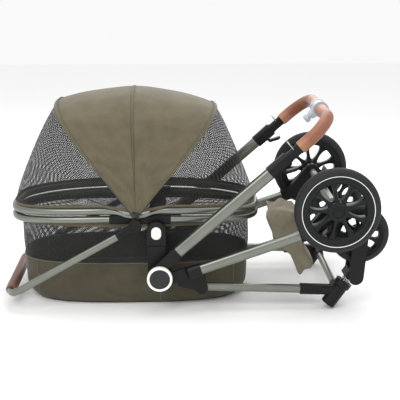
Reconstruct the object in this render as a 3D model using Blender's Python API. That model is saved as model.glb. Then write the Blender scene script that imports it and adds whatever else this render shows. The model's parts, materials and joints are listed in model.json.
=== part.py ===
"""Pet stroller: a carrier with a folding hood on a folding two-frame chassis, shown folded and laid down.

Metres, +Z up. The origin is the centre of the carrier's flat underside. +X runs from the carrier to the
folded wheels, -Y is the left side. Every moving piece has its origin on its joint's axis.
"""

import math

import bmesh
import bpy
from mathutils import Vector

# Driving dimensions: carrier.
CARRIER_LENGTH = 0.756
CARRIER_WIDTH = 0.346
RIM_RADIUS = 0.011
RIM_POWER = 3.0
LOWER_RIM_Z = 0.282
UPPER_RIM_Z = LOWER_RIM_Z + 2 * RIM_RADIUS + 0.0045
RIM_END_DROP = 0.014
RIM_PLUG = 0.022
RIM_STRAIGHT = 0.004
TUB_INSET = RIM_RADIUS + 0.005
TUB_TOP = 0.2645
TUB_WALL = 0.003
PAN_HEIGHT = 0.020
CUSHION_HEIGHT = 0.034

# Hood: one hinge line. Three bows at these angles, radii and layers; the front rim bow turns too.
HOOD_X = 0.005
HOOD_Z = 0.292
HOOD_PIN_RADIUS = 0.003
BOW_THICKNESS = 0.0024
BOW_WIDTH = 0.011
BOW_PITCH = 0.003
NET_THICKNESS = 0.0015
BOW_LEG = 0.20
HOOD_BOWS = {"rear_bow": (51.4, 0.390, 2), "centre_bow": (91.0, 0.358, 3), "front_bow": (126.8, 0.400, 4)}
CANOPY_GAP = 0.0035
CANOPY_THICKNESS = 0.0025
CANOPY_HEM = 0.022
NET_HEM = 0.030

# Carry handle.
CARRY_X = 0.003
CARRY_Z = 0.270
CARRY_ANGLE = 209.3
CARRY_REACH = 0.0685
CARRY_HALF_THICK = 0.008
CARRY_HALF_HIGH = 0.011
CARRY_CORNER = 0.055
CARRY_GRIP_RADIUS = 0.0175

# Chassis.
HUB_X = 0.0756
HUB_Z = 0.116
HUB_RADIUS = 0.0365
HUB_PIN_RADIUS = 0.012
POST_X = 0.066
POST_WIDTH = 0.055
POST_TOP = 0.2065
BUTTON_Z = POST_TOP + 0.0405
BUTTON_RADIUS = 0.0150
HANDLE_ANGLE = 41.5
HANDLE_SHIFT = (-0.0142, 0.0153)
HANDLE_SLEEVE_END = 0.094
HANDLE_HOUSING_START = 0.456
HANDLE_HOUSING_END = 0.524
HANDLE_LENGTH = 0.690
HANDLE_CORNER = 0.090
HANDLE_TUBE = (0.0135, 0.0180)
HANDLE_SLEEVE_HALF = HANDLE_TUBE[1] + 0.0020
INNER_TUBE = (0.0105, 0.0138)
TUBE_WALL = 0.002
GRIP_RADIUS = 0.0198
CENTRE_HALF = 0.034
BUTTON_SHANK = 0.0090
LEVER_PIN_RADIUS = 0.0018
LUG_THICKNESS = 0.0025
REAR_ANGLE = 19.1
REAR_DROP = 0.019
REAR_LEG_START = 0.1257
REAR_TUBE = (0.0130, 0.0160)
REAR_SLEEVE_HALF = REAR_TUBE[1] + 0.0024
REAR_PLATE_TOP = 0.064
REAR_AXLE = (CARRIER_LENGTH / 2 + 0.220, 0.331)
REAR_LEG_SHORT = 0.1255
AXLE_TUBE_RADIUS = 0.0125
PEDAL_WIDTH = 0.060
REAR_WHEEL_RADIUS = 0.128
REAR_WHEEL_WIDTH = 0.042
SPINDLE_RADIUS = 0.006
FOLD = (0.2034, 0.073)
FOLD_PIN_RADIUS = 0.004
FRONT_ANGLE = -2.2
FRONT_TUBE = (0.0115, 0.0125)
CASTER_ANGLE = 55.6
CASTER_X = CARRIER_LENGTH / 2 + 0.2145
FRONT_LEG_LENGTH = CASTER_X - FOLD[0] - 0.0876
BARREL_RADIUS = 0.0225
BARREL_LENGTH = 0.088
STEM_RADIUS = 0.0080
STEM_START = 0.0065
STEM_LENGTH = 0.1065
FORK_TRAVEL = 0.008
FRONT_WHEEL_RADIUS = 0.090
FRONT_WHEEL_WIDTH = 0.034
FORK_BOSS = (CARRIER_LENGTH / 2 + 0.2925, 0.106)
FRONT_AXLE = (CARRIER_LENGTH / 2 + 0.3025, 0.2356)
SPOKES = 9
FIRST_SPOKE = 99.5
REAR_HUB_RADIUS = 0.032
FRONT_HUB_RADIUS = 0.024
BASKET_X = CARRIER_LENGTH / 2 + 0.022
BASKET_TOP = 0.292

# Clearances.
FACE_GAP = 0.0003
RUNNING_GAP = 0.0003
SIDE_GAP = 0.0012
SIDES = 8
WHEEL_SIDES = 24

# Side stack: distances from the middle plane, worked outwards from the rim.
RIM_HALF = CARRIER_WIDTH / 2
BRACKET_OUT = RIM_HALF + RIM_RADIUS + 0.002
POST_IN, POST_OUT = BRACKET_OUT + 0.004, BRACKET_OUT + 0.025
ADAPTOR_OUT = BRACKET_OUT + 0.023
REAR_EYE = (POST_OUT + 0.0015, POST_OUT + 0.0150)
HANDLE_EYE = (REAR_EYE[1] + 0.0010, REAR_EYE[1] + 0.0142)
COVER = (HANDLE_EYE[1] + 0.0010, HANDLE_EYE[1] + 0.0148)
HANDLE_Y = BRACKET_OUT + 0.0405
REAR_LEG_Y = BRACKET_OUT + 0.0420
FRONT_LEG_Y = BRACKET_OUT + 0.0120
CARRY_Y = BRACKET_OUT + 0.0305
CARRY_DISC = (BRACKET_OUT + 0.0175, BRACKET_OUT + 0.0280)
REAR_WHEEL_IN = BRACKET_OUT + 0.0630
REAR_WHEEL_OUT = REAR_WHEEL_IN + REAR_WHEEL_WIDTH
BASKET_HALF = FRONT_LEG_Y - 0.033
LEFT_RIGHT = {"left": -1, "right": 1}

# Places that follow from the driving dimensions.
HUB = (HUB_X, HUB_Z)
HANDLE_ROOT = (HUB_X + HANDLE_SHIFT[0], HUB_Z + HANDLE_SHIFT[1])
REAR_TURN = math.radians(REAR_ANGLE)
REAR_AXLE_ALONG = (REAR_AXLE[0] - HUB_X) * math.cos(REAR_TURN) + (REAR_AXLE[1] - HUB_Z) * math.sin(REAR_TURN)
REAR_LEG_END = REAR_AXLE_ALONG - REAR_LEG_SHORT
CASTER_LINE = math.radians(CASTER_ANGLE)
CASTER_FOOT = (CASTER_X, BARREL_RADIUS * math.cos(CASTER_LINE))


# ---- helpers ---------------------------------------------------------------------------------------------


def material(name, colour, roughness, metallic):
    """A plain finish: sRGB colour from 0 to 1."""
    made = bpy.data.materials.get(name)
    if made:
        return made
    made = bpy.data.materials.new(name)
    made.use_nodes = True
    shader = made.node_tree.nodes["Principled BSDF"]
    linear = [part / 12.92 if part <= 0.04045 else ((part + 0.055) / 1.055) ** 2.4 for part in colour]
    shader.inputs["Base Color"].default_value = (*linear, 1)
    shader.inputs["Roughness"].default_value = roughness
    shader.inputs["Metallic"].default_value = metallic
    made.diffuse_color = (*colour, 1)
    return made


FINISHES = {
    "aluminium": ((0.55, 0.56, 0.54), 0.35, 1.0),
    "black_plastic": ((0.16, 0.17, 0.17), 0.5, 0.0),
    "white_plastic": ((0.93, 0.93, 0.90), 0.35, 0.0),
    "grey_plastic": ((0.70, 0.72, 0.75), 0.4, 0.0),
    "olive_fabric": ((0.43, 0.40, 0.31), 0.9, 0.0),
    "black_mesh": ((0.07, 0.07, 0.07), 0.9, 0.0),
    "dark_cushion": ((0.15, 0.15, 0.15), 0.9, 0.0),
    "tan_leather": ((0.72, 0.44, 0.31), 0.5, 0.0),
    "tyre_rubber": ((0.10, 0.10, 0.10), 0.8, 0.0),
    "steel": ((0.6, 0.6, 0.6), 0.3, 1.0),
}


def node(name, finish, loops, closed=False, origin=(0, 0, 0)):
    """One object from a row of point loops: neighbours are skinned, the first and last are capped."""
    bm = bmesh.new()
    rings = [[bm.verts.new(Vector(point)) for point in loop] for loop in loops]
    pairs = list(zip(rings, rings[1:]))
    if closed:
        pairs.append((rings[-1], rings[0]))
    for first, second in pairs:
        for i in range(len(first)):
            j = (i + 1) % len(first)
            bm.faces.new((first[i], first[j], second[j], second[i]))
    if not closed:
        bm.faces.new(rings[0][::-1])
        bm.faces.new(rings[-1])
    bmesh.ops.recalc_face_normals(bm, faces=bm.faces)
    bmesh.ops.translate(bm, verts=bm.verts, vec=-Vector(origin))
    mesh = bpy.data.meshes.new(name)
    bm.to_mesh(mesh)
    bm.free()
    mesh.shade_smooth()
    mesh.set_sharp_from_angle(angle=math.radians(35))
    obj = bpy.data.objects.new(name, mesh)
    obj.location = origin
    obj.data.materials.append(material(finish, *FINISHES[finish]))
    bpy.context.scene.collection.objects.link(obj)
    return obj


def helper(obj):
    obj.hide_render = True
    obj.display_type = "WIRE"
    return obj


def boolean(base, operation, pieces):
    for piece in pieces:
        step = base.modifiers.new(piece.name, "BOOLEAN")
        step.operation = operation
        step.solver = "EXACT"
        step.object = helper(piece)


def join(base, *pieces):
    boolean(base, "UNION", pieces)


def cut(base, *pieces):
    boolean(base, "DIFFERENCE", pieces)


def rounded(half_u, half_v, power=2.0, sides=SIDES):
    """A superellipse outline: power 2 is an ellipse, higher is squarer."""
    points = []
    for i in range(sides):
        turn = 2 * math.pi * (i + 0.5) / sides
        c, s = math.cos(turn), math.sin(turn)
        points.append((half_u * math.copysign(abs(c) ** (2 / power), c),
                       half_v * math.copysign(abs(s) ** (2 / power), s)))
    return points


def along(path, normal, sections):
    """Section loops along a path: u runs along the given normal, v across the path."""
    normal = Vector(normal).normalized()
    path = [Vector(point) for point in path]
    loops = []
    for i, point in enumerate(path):
        tangent = (path[min(i + 1, len(path) - 1)] - path[max(i - 1, 0)]).normalized()
        across = normal.cross(tangent).normalized()
        section = sections[i] if isinstance(sections[0], list) else sections
        loops.append([point + normal * u + across * v for u, v in section])
    return loops


def pipe(path, normal, outer, inner):
    """Loops of a hollow tube that is open at both ends."""
    return along(path, normal, outer) + along(path, normal, inner)[::-1]


def turned(centre, axis, profile, sides=24):
    """Loops of a turned shape from (radius, distance along the axis) pairs."""
    axis = Vector(axis).normalized()
    first = axis.orthogonal().normalized()
    second = axis.cross(first)
    loops = []
    for radius, height in profile:
        ring = []
        for i in range(sides):
            turn = 2 * math.pi * i / sides
            ring.append(Vector(centre) + axis * height
                        + (first * math.cos(turn) + second * math.sin(turn)) * radius)
        loops.append(ring)
    return loops


def disc(centre_xz, radius, side, low, high, sides=24):
    """Loops of a cylinder across the stroller, between two distances from the middle plane."""
    centre = (centre_xz[0], 0, centre_xz[1])
    return turned(centre, (0, side, 0), [(radius, low), (radius, high)], sides)


def plate(outline, side, low, high):
    """Loops of a plate with an (x, z) outline, between two distances from the middle plane."""
    return [[(x, side * y, z) for x, z in outline] for y in (low, high)]


def arc(centre, radius, start, end, steps):
    """Points of an arc in the side view, angles in degrees."""
    points = []
    for i in range(steps + 1):
        turn = math.radians(start + (end - start) * i / steps)
        points.append((centre[0] + radius * math.cos(turn), centre[1] + radius * math.sin(turn)))
    return points


def polar(centre, angle, distance, offset=0.0):
    """A side view point: so far along a direction and so far to its left."""
    turn = math.radians(angle)
    return (centre[0] + distance * math.cos(turn) - offset * math.sin(turn),
            centre[1] + distance * math.sin(turn) + offset * math.cos(turn))


def link_outline(first, first_radius, second, second_radius, steps=10):
    """The outline of a link with round ends, in the side view."""
    facing = math.degrees(math.atan2(second[1] - first[1], second[0] - first[0]))
    return arc(second, second_radius, facing - 90, facing + 90, steps) + arc(
        first, first_radius, facing + 90, facing + 270, steps)


def flat(point, y):
    return (point[0], y, point[1])


# ---- carrier ---------------------------------------------------------------------------------------------


def oval(half_length, half_width, z, steps, start=0.0, end=360.0):
    """Points of the carrier's plan outline, a superellipse, at a height or a height function of x."""
    points = []
    count = steps if end - start == 360 else steps + 1
    for i in range(count):
        turn = math.radians(start + (end - start) * i / steps)
        c, s = math.cos(turn), math.sin(turn)
        x = half_length * math.copysign(abs(c) ** (2 / RIM_POWER), c)
        y = half_width * math.copysign(abs(s) ** (2 / RIM_POWER), s)
        points.append((x, y, z(x) if callable(z) else z))
    return points


def rim_drop(x):
    return RIM_END_DROP * (2 * x / CARRIER_LENGTH) ** 2


def tub_half(z):
    """Half length and half width of the tub's outside at a height: the bottom edge is rounded."""
    top_length = CARRIER_LENGTH / 2 - TUB_INSET
    top_width = CARRIER_WIDTH / 2 - TUB_INSET / 2
    lean = 0.012 * (1 - z / LOWER_RIM_Z)
    tuck = 0.034 * max(0.0, 1 - z / 0.050) ** 2
    return top_length - lean - tuck, top_width - 0.4 * lean - 0.6 * tuck


def tub_loop(z, inset, steps=24):
    half_length, half_width = tub_half(z)
    return oval(half_length - inset, half_width - inset, z, steps)


def build_tub():
    heights = [0.0, 0.006, PAN_HEIGHT]
    node("carrier_base", "black_plastic", [tub_loop(z, 0) for z in heights])
    levels = [PAN_HEIGHT + FACE_GAP, 0.034, 0.050, 0.147, TUB_TOP]
    outer = [tub_loop(z, 0) for z in levels]
    inner = [tub_loop(z, TUB_WALL) for z in levels[::-1]]
    node("tub_fabric", "olive_fabric", outer + inner, closed=True)
    pad = [(PAN_HEIGHT + FACE_GAP, 0.014), (PAN_HEIGHT + 0.008, 0.008),
           (PAN_HEIGHT + CUSHION_HEIGHT - 0.010, 0.008), (PAN_HEIGHT + CUSHION_HEIGHT, 0.016)]
    node("cushion", "dark_cushion", [tub_loop(z, inset) for z, inset in pad])


def bracket_span():
    return POST_X - 0.141, POST_X + 0.044


def build_lower_rims():
    """Two U tubes that plug into the side brackets."""
    section = rounded(RIM_RADIUS, RIM_RADIUS, 2.5)
    bore = rounded(RIM_RADIUS - 0.0015, RIM_RADIUS - 0.0015, 2.5)
    front_end, rear_end = bracket_span()
    for name, sign, face in (("lower_rim_front", -1, front_end), ("lower_rim_rear", 1, rear_end)):
        path = rim_path(sign, face + sign * RIM_STRAIGHT, LOWER_RIM_Z, face - sign * RIM_PLUG)
        node(name, "aluminium", pipe(path, (0, 0, 1), section, bore), closed=True)


def rim_y(x):
    return RIM_HALF * (1 - abs(2 * x / CARRIER_LENGTH) ** RIM_POWER) ** (1 / RIM_POWER)


def rim_point(x, side, height=LOWER_RIM_Z):
    return (x, side * rim_y(x), height - rim_drop(x))


def rim_path(sign, bend_x, height, end_x=None):
    """A U round one end of the carrier, side to side, with straight ends from bend_x to end_x."""
    turn = math.degrees(math.acos(abs(2 * bend_x / CARRIER_LENGTH) ** (RIM_POWER / 2)))
    centre = 0 if sign > 0 else 180
    points = oval(CARRIER_LENGTH / 2, RIM_HALF, 0, 14, centre - turn, centre + turn)
    path = [(x, y, height - rim_drop(x)) for x, y, _ in points]
    if end_x is None:
        return path
    first = 1 if path[0][1] > 0 else -1
    return [rim_point(end_x, first, height)] + path + [rim_point(end_x, -first, height)]


def build_brackets():
    """Black mouldings at mid side: they take the rim tubes, the hood pin, the carry handle and the post."""
    front_end, rear_end = bracket_span()
    body = rounded(RIM_RADIUS + 0.0018, RIM_RADIUS + 0.0018, 5)
    socket = rounded(RIM_RADIUS + FACE_GAP, RIM_RADIUS + FACE_GAP, 2.5)
    for label, side in LEFT_RIGHT.items():
        path = [rim_point(front_end, side)]
        path += [(x, side * RIM_HALF, LOWER_RIM_Z - rim_drop(x)) for x in (-0.03, 0.0, 0.04)]
        path += [rim_point(rear_end, side)]
        obj = node("side_bracket_" + label, "black_plastic", along(path, (0, 0, 1), body))
        ear = disc((HOOD_X, HOOD_Z), 0.0100, side, RIM_HALF - 0.001, BRACKET_OUT)
        pin = disc((HOOD_X, HOOD_Z), HOOD_PIN_RADIUS, side, RIM_HALF, BRACKET_OUT + 0.0165, 12)
        shaft = disc((CARRY_X, CARRY_Z), 0.005, side, RIM_HALF, CARRY_DISC[1], 12)
        half = POST_WIDTH / 2 + 0.001
        top = LOWER_RIM_Z - half
        outline = [(POST_X - half, POST_TOP + 0.001), (POST_X + half, POST_TOP + 0.001)]
        outline += arc((POST_X, top), half, 0, 180, 12)
        adaptor = plate(outline, side, RIM_HALF + 0.007, ADAPTOR_OUT)
        join(obj, *[node(f"{obj.name}_{name}", "black_plastic", loops) for name, loops in
                    (("ear", ear), ("pin", pin), ("shaft", shaft), ("adaptor", adaptor))])
        sockets = []
        for name, sign, face in (("front", -1, front_end), ("rear", 1, rear_end)):
            inner = Vector(rim_point(face - sign * RIM_PLUG, side))
            outer = Vector(rim_point(face + sign * RIM_STRAIGHT, side))
            lane = [inner - (outer - inner).normalized() * SIDE_GAP, outer]
            loops = along(lane, (0, 0, 1), socket)
            sockets.append(node(f"{obj.name}_{name}_socket", "black_plastic", loops))
        recess = plate(button_outline(FACE_GAP), side, ADAPTOR_OUT - 0.007, ADAPTOR_OUT + 0.002)
        sockets.append(node(obj.name + "_recess", "black_plastic", recess))
        tongue = tongue_loops(side, 0.0005, POST_TOP - 0.002)
        sockets.append(node(obj.name + "_pocket", "black_plastic", tongue))
        cut(obj, *sockets)
        button = plate(button_outline(0), side, ADAPTOR_OUT - 0.0024, ADAPTOR_OUT + 0.0035)
        place = (POST_X, side * ADAPTOR_OUT, BUTTON_Z)
        node("release_button_" + label, "white_plastic", button, origin=place)


def button_outline(grow):
    """Two overlapping discs, one above the other."""
    high = (POST_X, BUTTON_Z + 0.0045)
    low = (POST_X, BUTTON_Z - 0.0045)
    return link_outline(low, BUTTON_RADIUS + grow, high, BUTTON_RADIUS + grow, 10)


def tongue_loops(side, grow, bottom):
    half = 0.0150 + grow
    top = POST_TOP + 0.035 + grow
    left, right = POST_X - half, POST_X + half
    outline = [(left, bottom), (right, bottom), (right, top), (left, top)]
    return plate(outline, side, POST_IN - grow, POST_IN + 0.009 + grow)


# ---- hood ------------------------------------------------------------------------------------------------


def layer(index):
    """Distance from the middle plane of a bow's side strap: each bow has its own layer on the pin."""
    return BRACKET_OUT + 0.0020 + BOW_PITCH * index


def bow_point(angle, radius, y):
    turn = math.radians(angle)
    return (HOOD_X + radius * math.cos(turn), y, HOOD_Z + radius * math.sin(turn))


def bow_profile(reach, half, steps=6):
    """(radius, y) points of one bow from the right eye over the top to the left eye."""
    points = [(-0.006, half), (0.0, half), (BOW_LEG * 0.6, half)]
    for i in range(1, steps * 2):
        turn = math.pi * i / (2 * steps)
        sine, cosine = math.sin(turn), math.cos(turn)
        points.append((BOW_LEG + (reach - BOW_LEG) * sine ** 0.8,
                       half * math.copysign(abs(cosine) ** 0.8, cosine)))
    return points + [(BOW_LEG * 0.6, -half), (0.0, -half), (-0.006, -half)]


def pin_cutter():
    reach = BRACKET_OUT + 0.04
    return node("hood_pin_cutter", "steel",
                turned((HOOD_X, 0, HOOD_Z), (0, 1, 0),
                       [(HOOD_PIN_RADIUS + RUNNING_GAP, -reach), (HOOD_PIN_RADIUS + RUNNING_GAP, reach)], 12))


def build_hood():
    cutter = pin_cutter()
    pivot = (HOOD_X, 0, HOOD_Z)
    for name, (angle, reach, index) in HOOD_BOWS.items():
        path = [bow_point(angle, r, y) for r, y in bow_profile(reach, layer(index))]
        turn = math.radians(angle)
        section = rounded(BOW_WIDTH / 2, BOW_THICKNESS / 2, 6, 8)
        loops = along(path, (-math.sin(turn), 0, math.cos(turn)), section)
        obj = node(name, "black_plastic", loops, origin=pivot)
        cut(obj, cutter)
    for name, sign, index in (("rear_rim_bow", 1, 0), ("front_rim_bow", -1, 1)):
        obj = node(name, "aluminium", rim_bow_loops(sign, index), origin=pivot)
        cut(obj, cutter)
    build_canopy()


def rim_bow_loops(sign, index):
    """A U tube above the lower rim whose two ends flatten into straps at the hood pin."""
    start = HOOD_X + sign * 0.092
    middle = rim_path(sign, start, UPPER_RIM_Z)
    sections = [rounded(RIM_RADIUS, RIM_RADIUS, 2.5)] * len(middle)
    first = middle[0][1] > 0
    blades = {}
    for side in (-1, 1):
        y_in = side * rim_y(start)
        y_out = side * layer(index)
        blade = [
            ((HOOD_X - sign * 0.006, y_out, HOOD_Z), (0.0050, BOW_THICKNESS / 2)),
            ((HOOD_X + sign * 0.010, y_out, HOOD_Z + 0.0008), (0.0050, BOW_THICKNESS / 2)),
            ((HOOD_X + sign * 0.032, y_out, HOOD_Z + 0.0050), (0.0045, BOW_THICKNESS / 2)),
            ((HOOD_X + sign * 0.050, (y_out + y_in) / 2, UPPER_RIM_Z - 0.0058), (0.0052, 0.0050)),
            ((HOOD_X + sign * 0.070, y_in, UPPER_RIM_Z - 0.0030), (0.0080, 0.0088)),
        ]
        blades[side] = blade
    head, tail = (1, -1) if first else (-1, 1)
    path = [point for point, _ in blades[head]] + middle + [point for point, _ in blades[tail][::-1]]
    sections = ([rounded(u, v, 3) for _, (u, v) in blades[head]] + sections
                + [rounded(u, v, 3) for _, (u, v) in blades[tail][::-1]])
    return along(path, (0, 0, 1), sections)


def canopy_loop(angle, reach, half, grow, start, steps=6):
    """One arch of the hood cloth outside the bows, from the right hem to the left hem."""
    points = [(0.0, half + grow), (BOW_LEG * 0.6, half + grow)]
    for i in range(1, steps * 2):
        turn = math.pi * i / (2 * steps)
        sine, cosine = math.sin(turn), math.cos(turn)
        points.append((BOW_LEG + (reach + grow - BOW_LEG) * sine ** 0.8,
                       (half + grow) * math.copysign(abs(cosine) ** 0.8, cosine)))
    points += [(BOW_LEG * 0.6, -half - grow), (0.0, -half - grow)]
    shrink = 1 - start / (reach + grow)
    return [bow_point(angle, start + r * shrink, y) for r, y in points]


def cloth(name, finish, arches):
    """A thin closed shell over a row of arches, each given as (inner points, outer points)."""
    loops = [inner + outer[::-1] for inner, outer in arches]
    return node(name, finish, loops)


def hood_reach(angle):
    """Roof radius at an angle: a gentle sag between neighbouring bows."""
    rear, centre, front = HOOD_BOWS.values()
    low, high = (rear, centre) if angle <= centre[0] else (centre, front)
    share = (angle - low[0]) / (high[0] - low[0])
    return low[1] + (high[1] - low[1]) * share - 0.010 * math.sin(math.pi * share)


def build_canopy():
    half = layer(4)
    near, far = HOOD_BOWS["rear_bow"][0], HOOD_BOWS["front_bow"][0]
    arches = []
    for i in range(7):
        angle = near + (far - near) * i / 6
        reach = hood_reach(angle)
        arches.append([canopy_loop(angle, reach, half, CANOPY_GAP + extra, CANOPY_HEM)
                       for extra in (0, CANOPY_THICKNESS)])
    cloth("hood_canopy", "olive_fabric", arches)
    for name, first, bow, last in (("hood_net_front", far + 3.5, "front_bow", 172.0),
                                   ("hood_net_rear", near - 3.5, "rear_bow", 8.0)):
        sign = -1 if bow == "front_bow" else 1
        arches = []
        for i in range(5):
            share = i / 4
            angle = first + (last - first) * share
            end_reach = CARRIER_LENGTH / 2 - sign * HOOD_X - 0.006
            reach = HOOD_BOWS[bow][1] * (1 - share) + end_reach * share - 0.018 * math.sin(math.pi * share)
            width = half * (1 - share) + RIM_HALF * share
            hem = NET_HEM / abs(math.sin(math.radians(angle)))
            arches.append([canopy_loop(angle, reach, width, CANOPY_GAP * (1 - share) + extra, hem)
                           for extra in (0, NET_THICKNESS)])
        cloth(name, "black_mesh", arches)


# ---- carry handle ----------------------------------------------------------------------------------------


def bar_path(centre, angle, start, reach, half, corner, steps=6):
    """A U bar: out along an angle from a side view point, round a corner, across, and back."""
    points = [(start, half), (start + (reach - corner - start) * 0.5, half)]
    points += [(reach - corner + corner * math.sin(math.pi / 2 * i / steps),
                half - corner + corner * math.cos(math.pi / 2 * i / steps)) for i in range(steps + 1)]
    points += [(r, -y) for r, y in points[::-1]]
    return [flat(polar(centre, angle, r), y) for r, y in points]


def across_normal(angle):
    turn = math.radians(angle)
    return (-math.sin(turn), 0, math.cos(turn))


def carry_reach():
    return CARRIER_LENGTH / 2 + CARRY_REACH


def build_carry_handle():
    centre = (CARRY_X, CARRY_Z)
    origin = (CARRY_X, 0, CARRY_Z)
    normal = across_normal(CARRY_ANGLE)
    path = bar_path(centre, CARRY_ANGLE, 0.030, carry_reach(), CARRY_Y, CARRY_CORNER)
    outer = rounded(CARRY_HALF_HIGH, CARRY_HALF_THICK, 2.6)
    bail = node("carry_bail", "aluminium", along(path, normal, outer), origin=origin)
    for label, side in LEFT_RIGHT.items():
        eye = node("carry_eye_" + label, "aluminium", disc(centre, 0.020, side, *CARRY_DISC))
        stub = node("carry_stub_" + label, "aluminium",
                    along([flat(polar(centre, CARRY_ANGLE, r), side * y) for r, y in
                           ((0.012, CARRY_DISC[0] + 0.0060), (0.030, CARRY_Y - 0.001), (0.062, CARRY_Y))],
                          normal, rounded(0.0125, 0.0055, 4)))
        join(bail, eye, stub)
    for label, side in LEFT_RIGHT.items():
        bore = node("carry_bore_" + label, "aluminium",
                    disc(centre, 0.005 + RUNNING_GAP, side, CARRY_DISC[0] - 0.004, CARRY_DISC[1] + 0.006, 12))
        cut(bail, bore)
    half = CARRY_Y - CARRY_CORNER - 0.006
    bar = [flat(polar(centre, CARRY_ANGLE, carry_reach()), y) for y in (-half, 0, half)]
    grip = rounded(CARRY_GRIP_RADIUS, CARRY_GRIP_RADIUS)
    hole = rounded(CARRY_HALF_HIGH + FACE_GAP, CARRY_HALF_THICK + FACE_GAP, 2.6)
    node("carry_grip", "tan_leather", pipe(bar, normal, grip, hole), closed=True, origin=origin)


# ---- chassis ---------------------------------------------------------------------------------------------


def build_hubs():
    for label, side in LEFT_RIGHT.items():
        half = POST_WIDTH / 2
        back = POST_X + half
        outline = [(HUB_X - HUB_RADIUS, POST_TOP), (back, POST_TOP), (back, POST_TOP - 0.02)]
        outline += arc(HUB, HUB_RADIUS, 30, -180, 16)
        hub = node("hub_" + label, "black_plastic", plate(outline, side, POST_IN, POST_OUT))
        boss = disc(HUB, HUB_PIN_RADIUS, side, POST_OUT - 0.006, COVER[0] - FACE_GAP)
        lug = disc(polar(HUB, -58, HUB_RADIUS + 0.004), 0.012, side, POST_IN + 0.003, POST_OUT - 0.002)
        tongue = tongue_loops(side, 0, POST_TOP - 0.006)
        join(hub, *[node(f"{hub.name}_{name}", "black_plastic", loops) for name, loops in
                    (("boss", boss), ("lug", lug), ("tongue", tongue))])
        rim = HUB_RADIUS + 0.002
        profile = [(rim - 0.002, COVER[0]), (rim, COVER[0] + 0.002), (rim, COVER[1] - 0.002),
                   (rim - 0.002, COVER[1]), (rim - 0.0075, COVER[1]), (rim - 0.009, COVER[1] - 0.0015),
                   (0.004, COVER[1] - 0.0010)]
        node("hub_cover_" + label, "white_plastic", turned((HUB_X, 0, HUB_Z), (0, side, 0), profile, 20))


def arm_sections(stations, side, centre, angle, name, offset=0.0, finish="black_plastic"):
    """A bar along a direction whose place and section change: (distance, y, half thick, half high, power)."""
    path = [flat(polar(centre, angle, r, offset), side * y) for r, y, _, _, _ in stations]
    loops = []
    normal, across = Vector((0, 1, 0)), Vector(across_normal(angle))
    for point, (_, _, half_u, half_v, power) in zip(path, stations):
        loops.append([Vector(point) + normal * u + across * v for u, v in rounded(half_u, half_v, power)])
    return node(name, finish, loops)


def build_handle():
    origin = (HUB_X, 0, HUB_Z)
    eye_y = sum(HANDLE_EYE) / 2
    eye_half = (HANDLE_EYE[1] - HANDLE_EYE[0]) / 2
    for label, side in LEFT_RIGHT.items():
        bend, end, high = HANDLE_SLEEVE_END - 0.028, HANDLE_SLEEVE_END, HANDLE_SLEEVE_HALF
        stations = [(0.004, eye_y, eye_half, high - 0.0040, 6), (bend, eye_y, eye_half, high - 0.0015, 6),
                    (bend + 0.010, HANDLE_Y, 0.0142, high, 4), (end, HANDLE_Y, 0.0145, high, 4)]
        arm = arm_sections(stations, side, HANDLE_ROOT, HANDLE_ANGLE, "handle_arm_" + label)
        eye = node("handle_eye_" + label, "black_plastic", disc(HUB, 0.0275, side, *HANDLE_EYE))
        stations = [(HANDLE_SLEEVE_END - 0.009, *HANDLE_TUBE), (HANDLE_HOUSING_END - 0.025, *HANDLE_TUBE)]
        wall = [half - TUBE_WALL for half in HANDLE_TUBE]
        stations += [(HANDLE_HOUSING_END - 0.025, *wall), (0.330, *wall)]
        stations = [(r, HANDLE_Y, u, v, 2.8) for r, u, v in stations]
        tube_name = "handle_tube_" + label
        tube = arm_sections(stations, side, HANDLE_ROOT, HANDLE_ANGLE, tube_name, finish="aluminium")
        join(arm, eye, tube)
        bore = disc(HUB, HUB_PIN_RADIUS + RUNNING_GAP, side, HANDLE_EYE[0] - 0.01, HANDLE_EYE[1] + 0.01)
        cut(arm, node("handle_bore_" + label, "steel", bore))
        build_housing(label, side)
    build_handlebar(origin)


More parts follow.
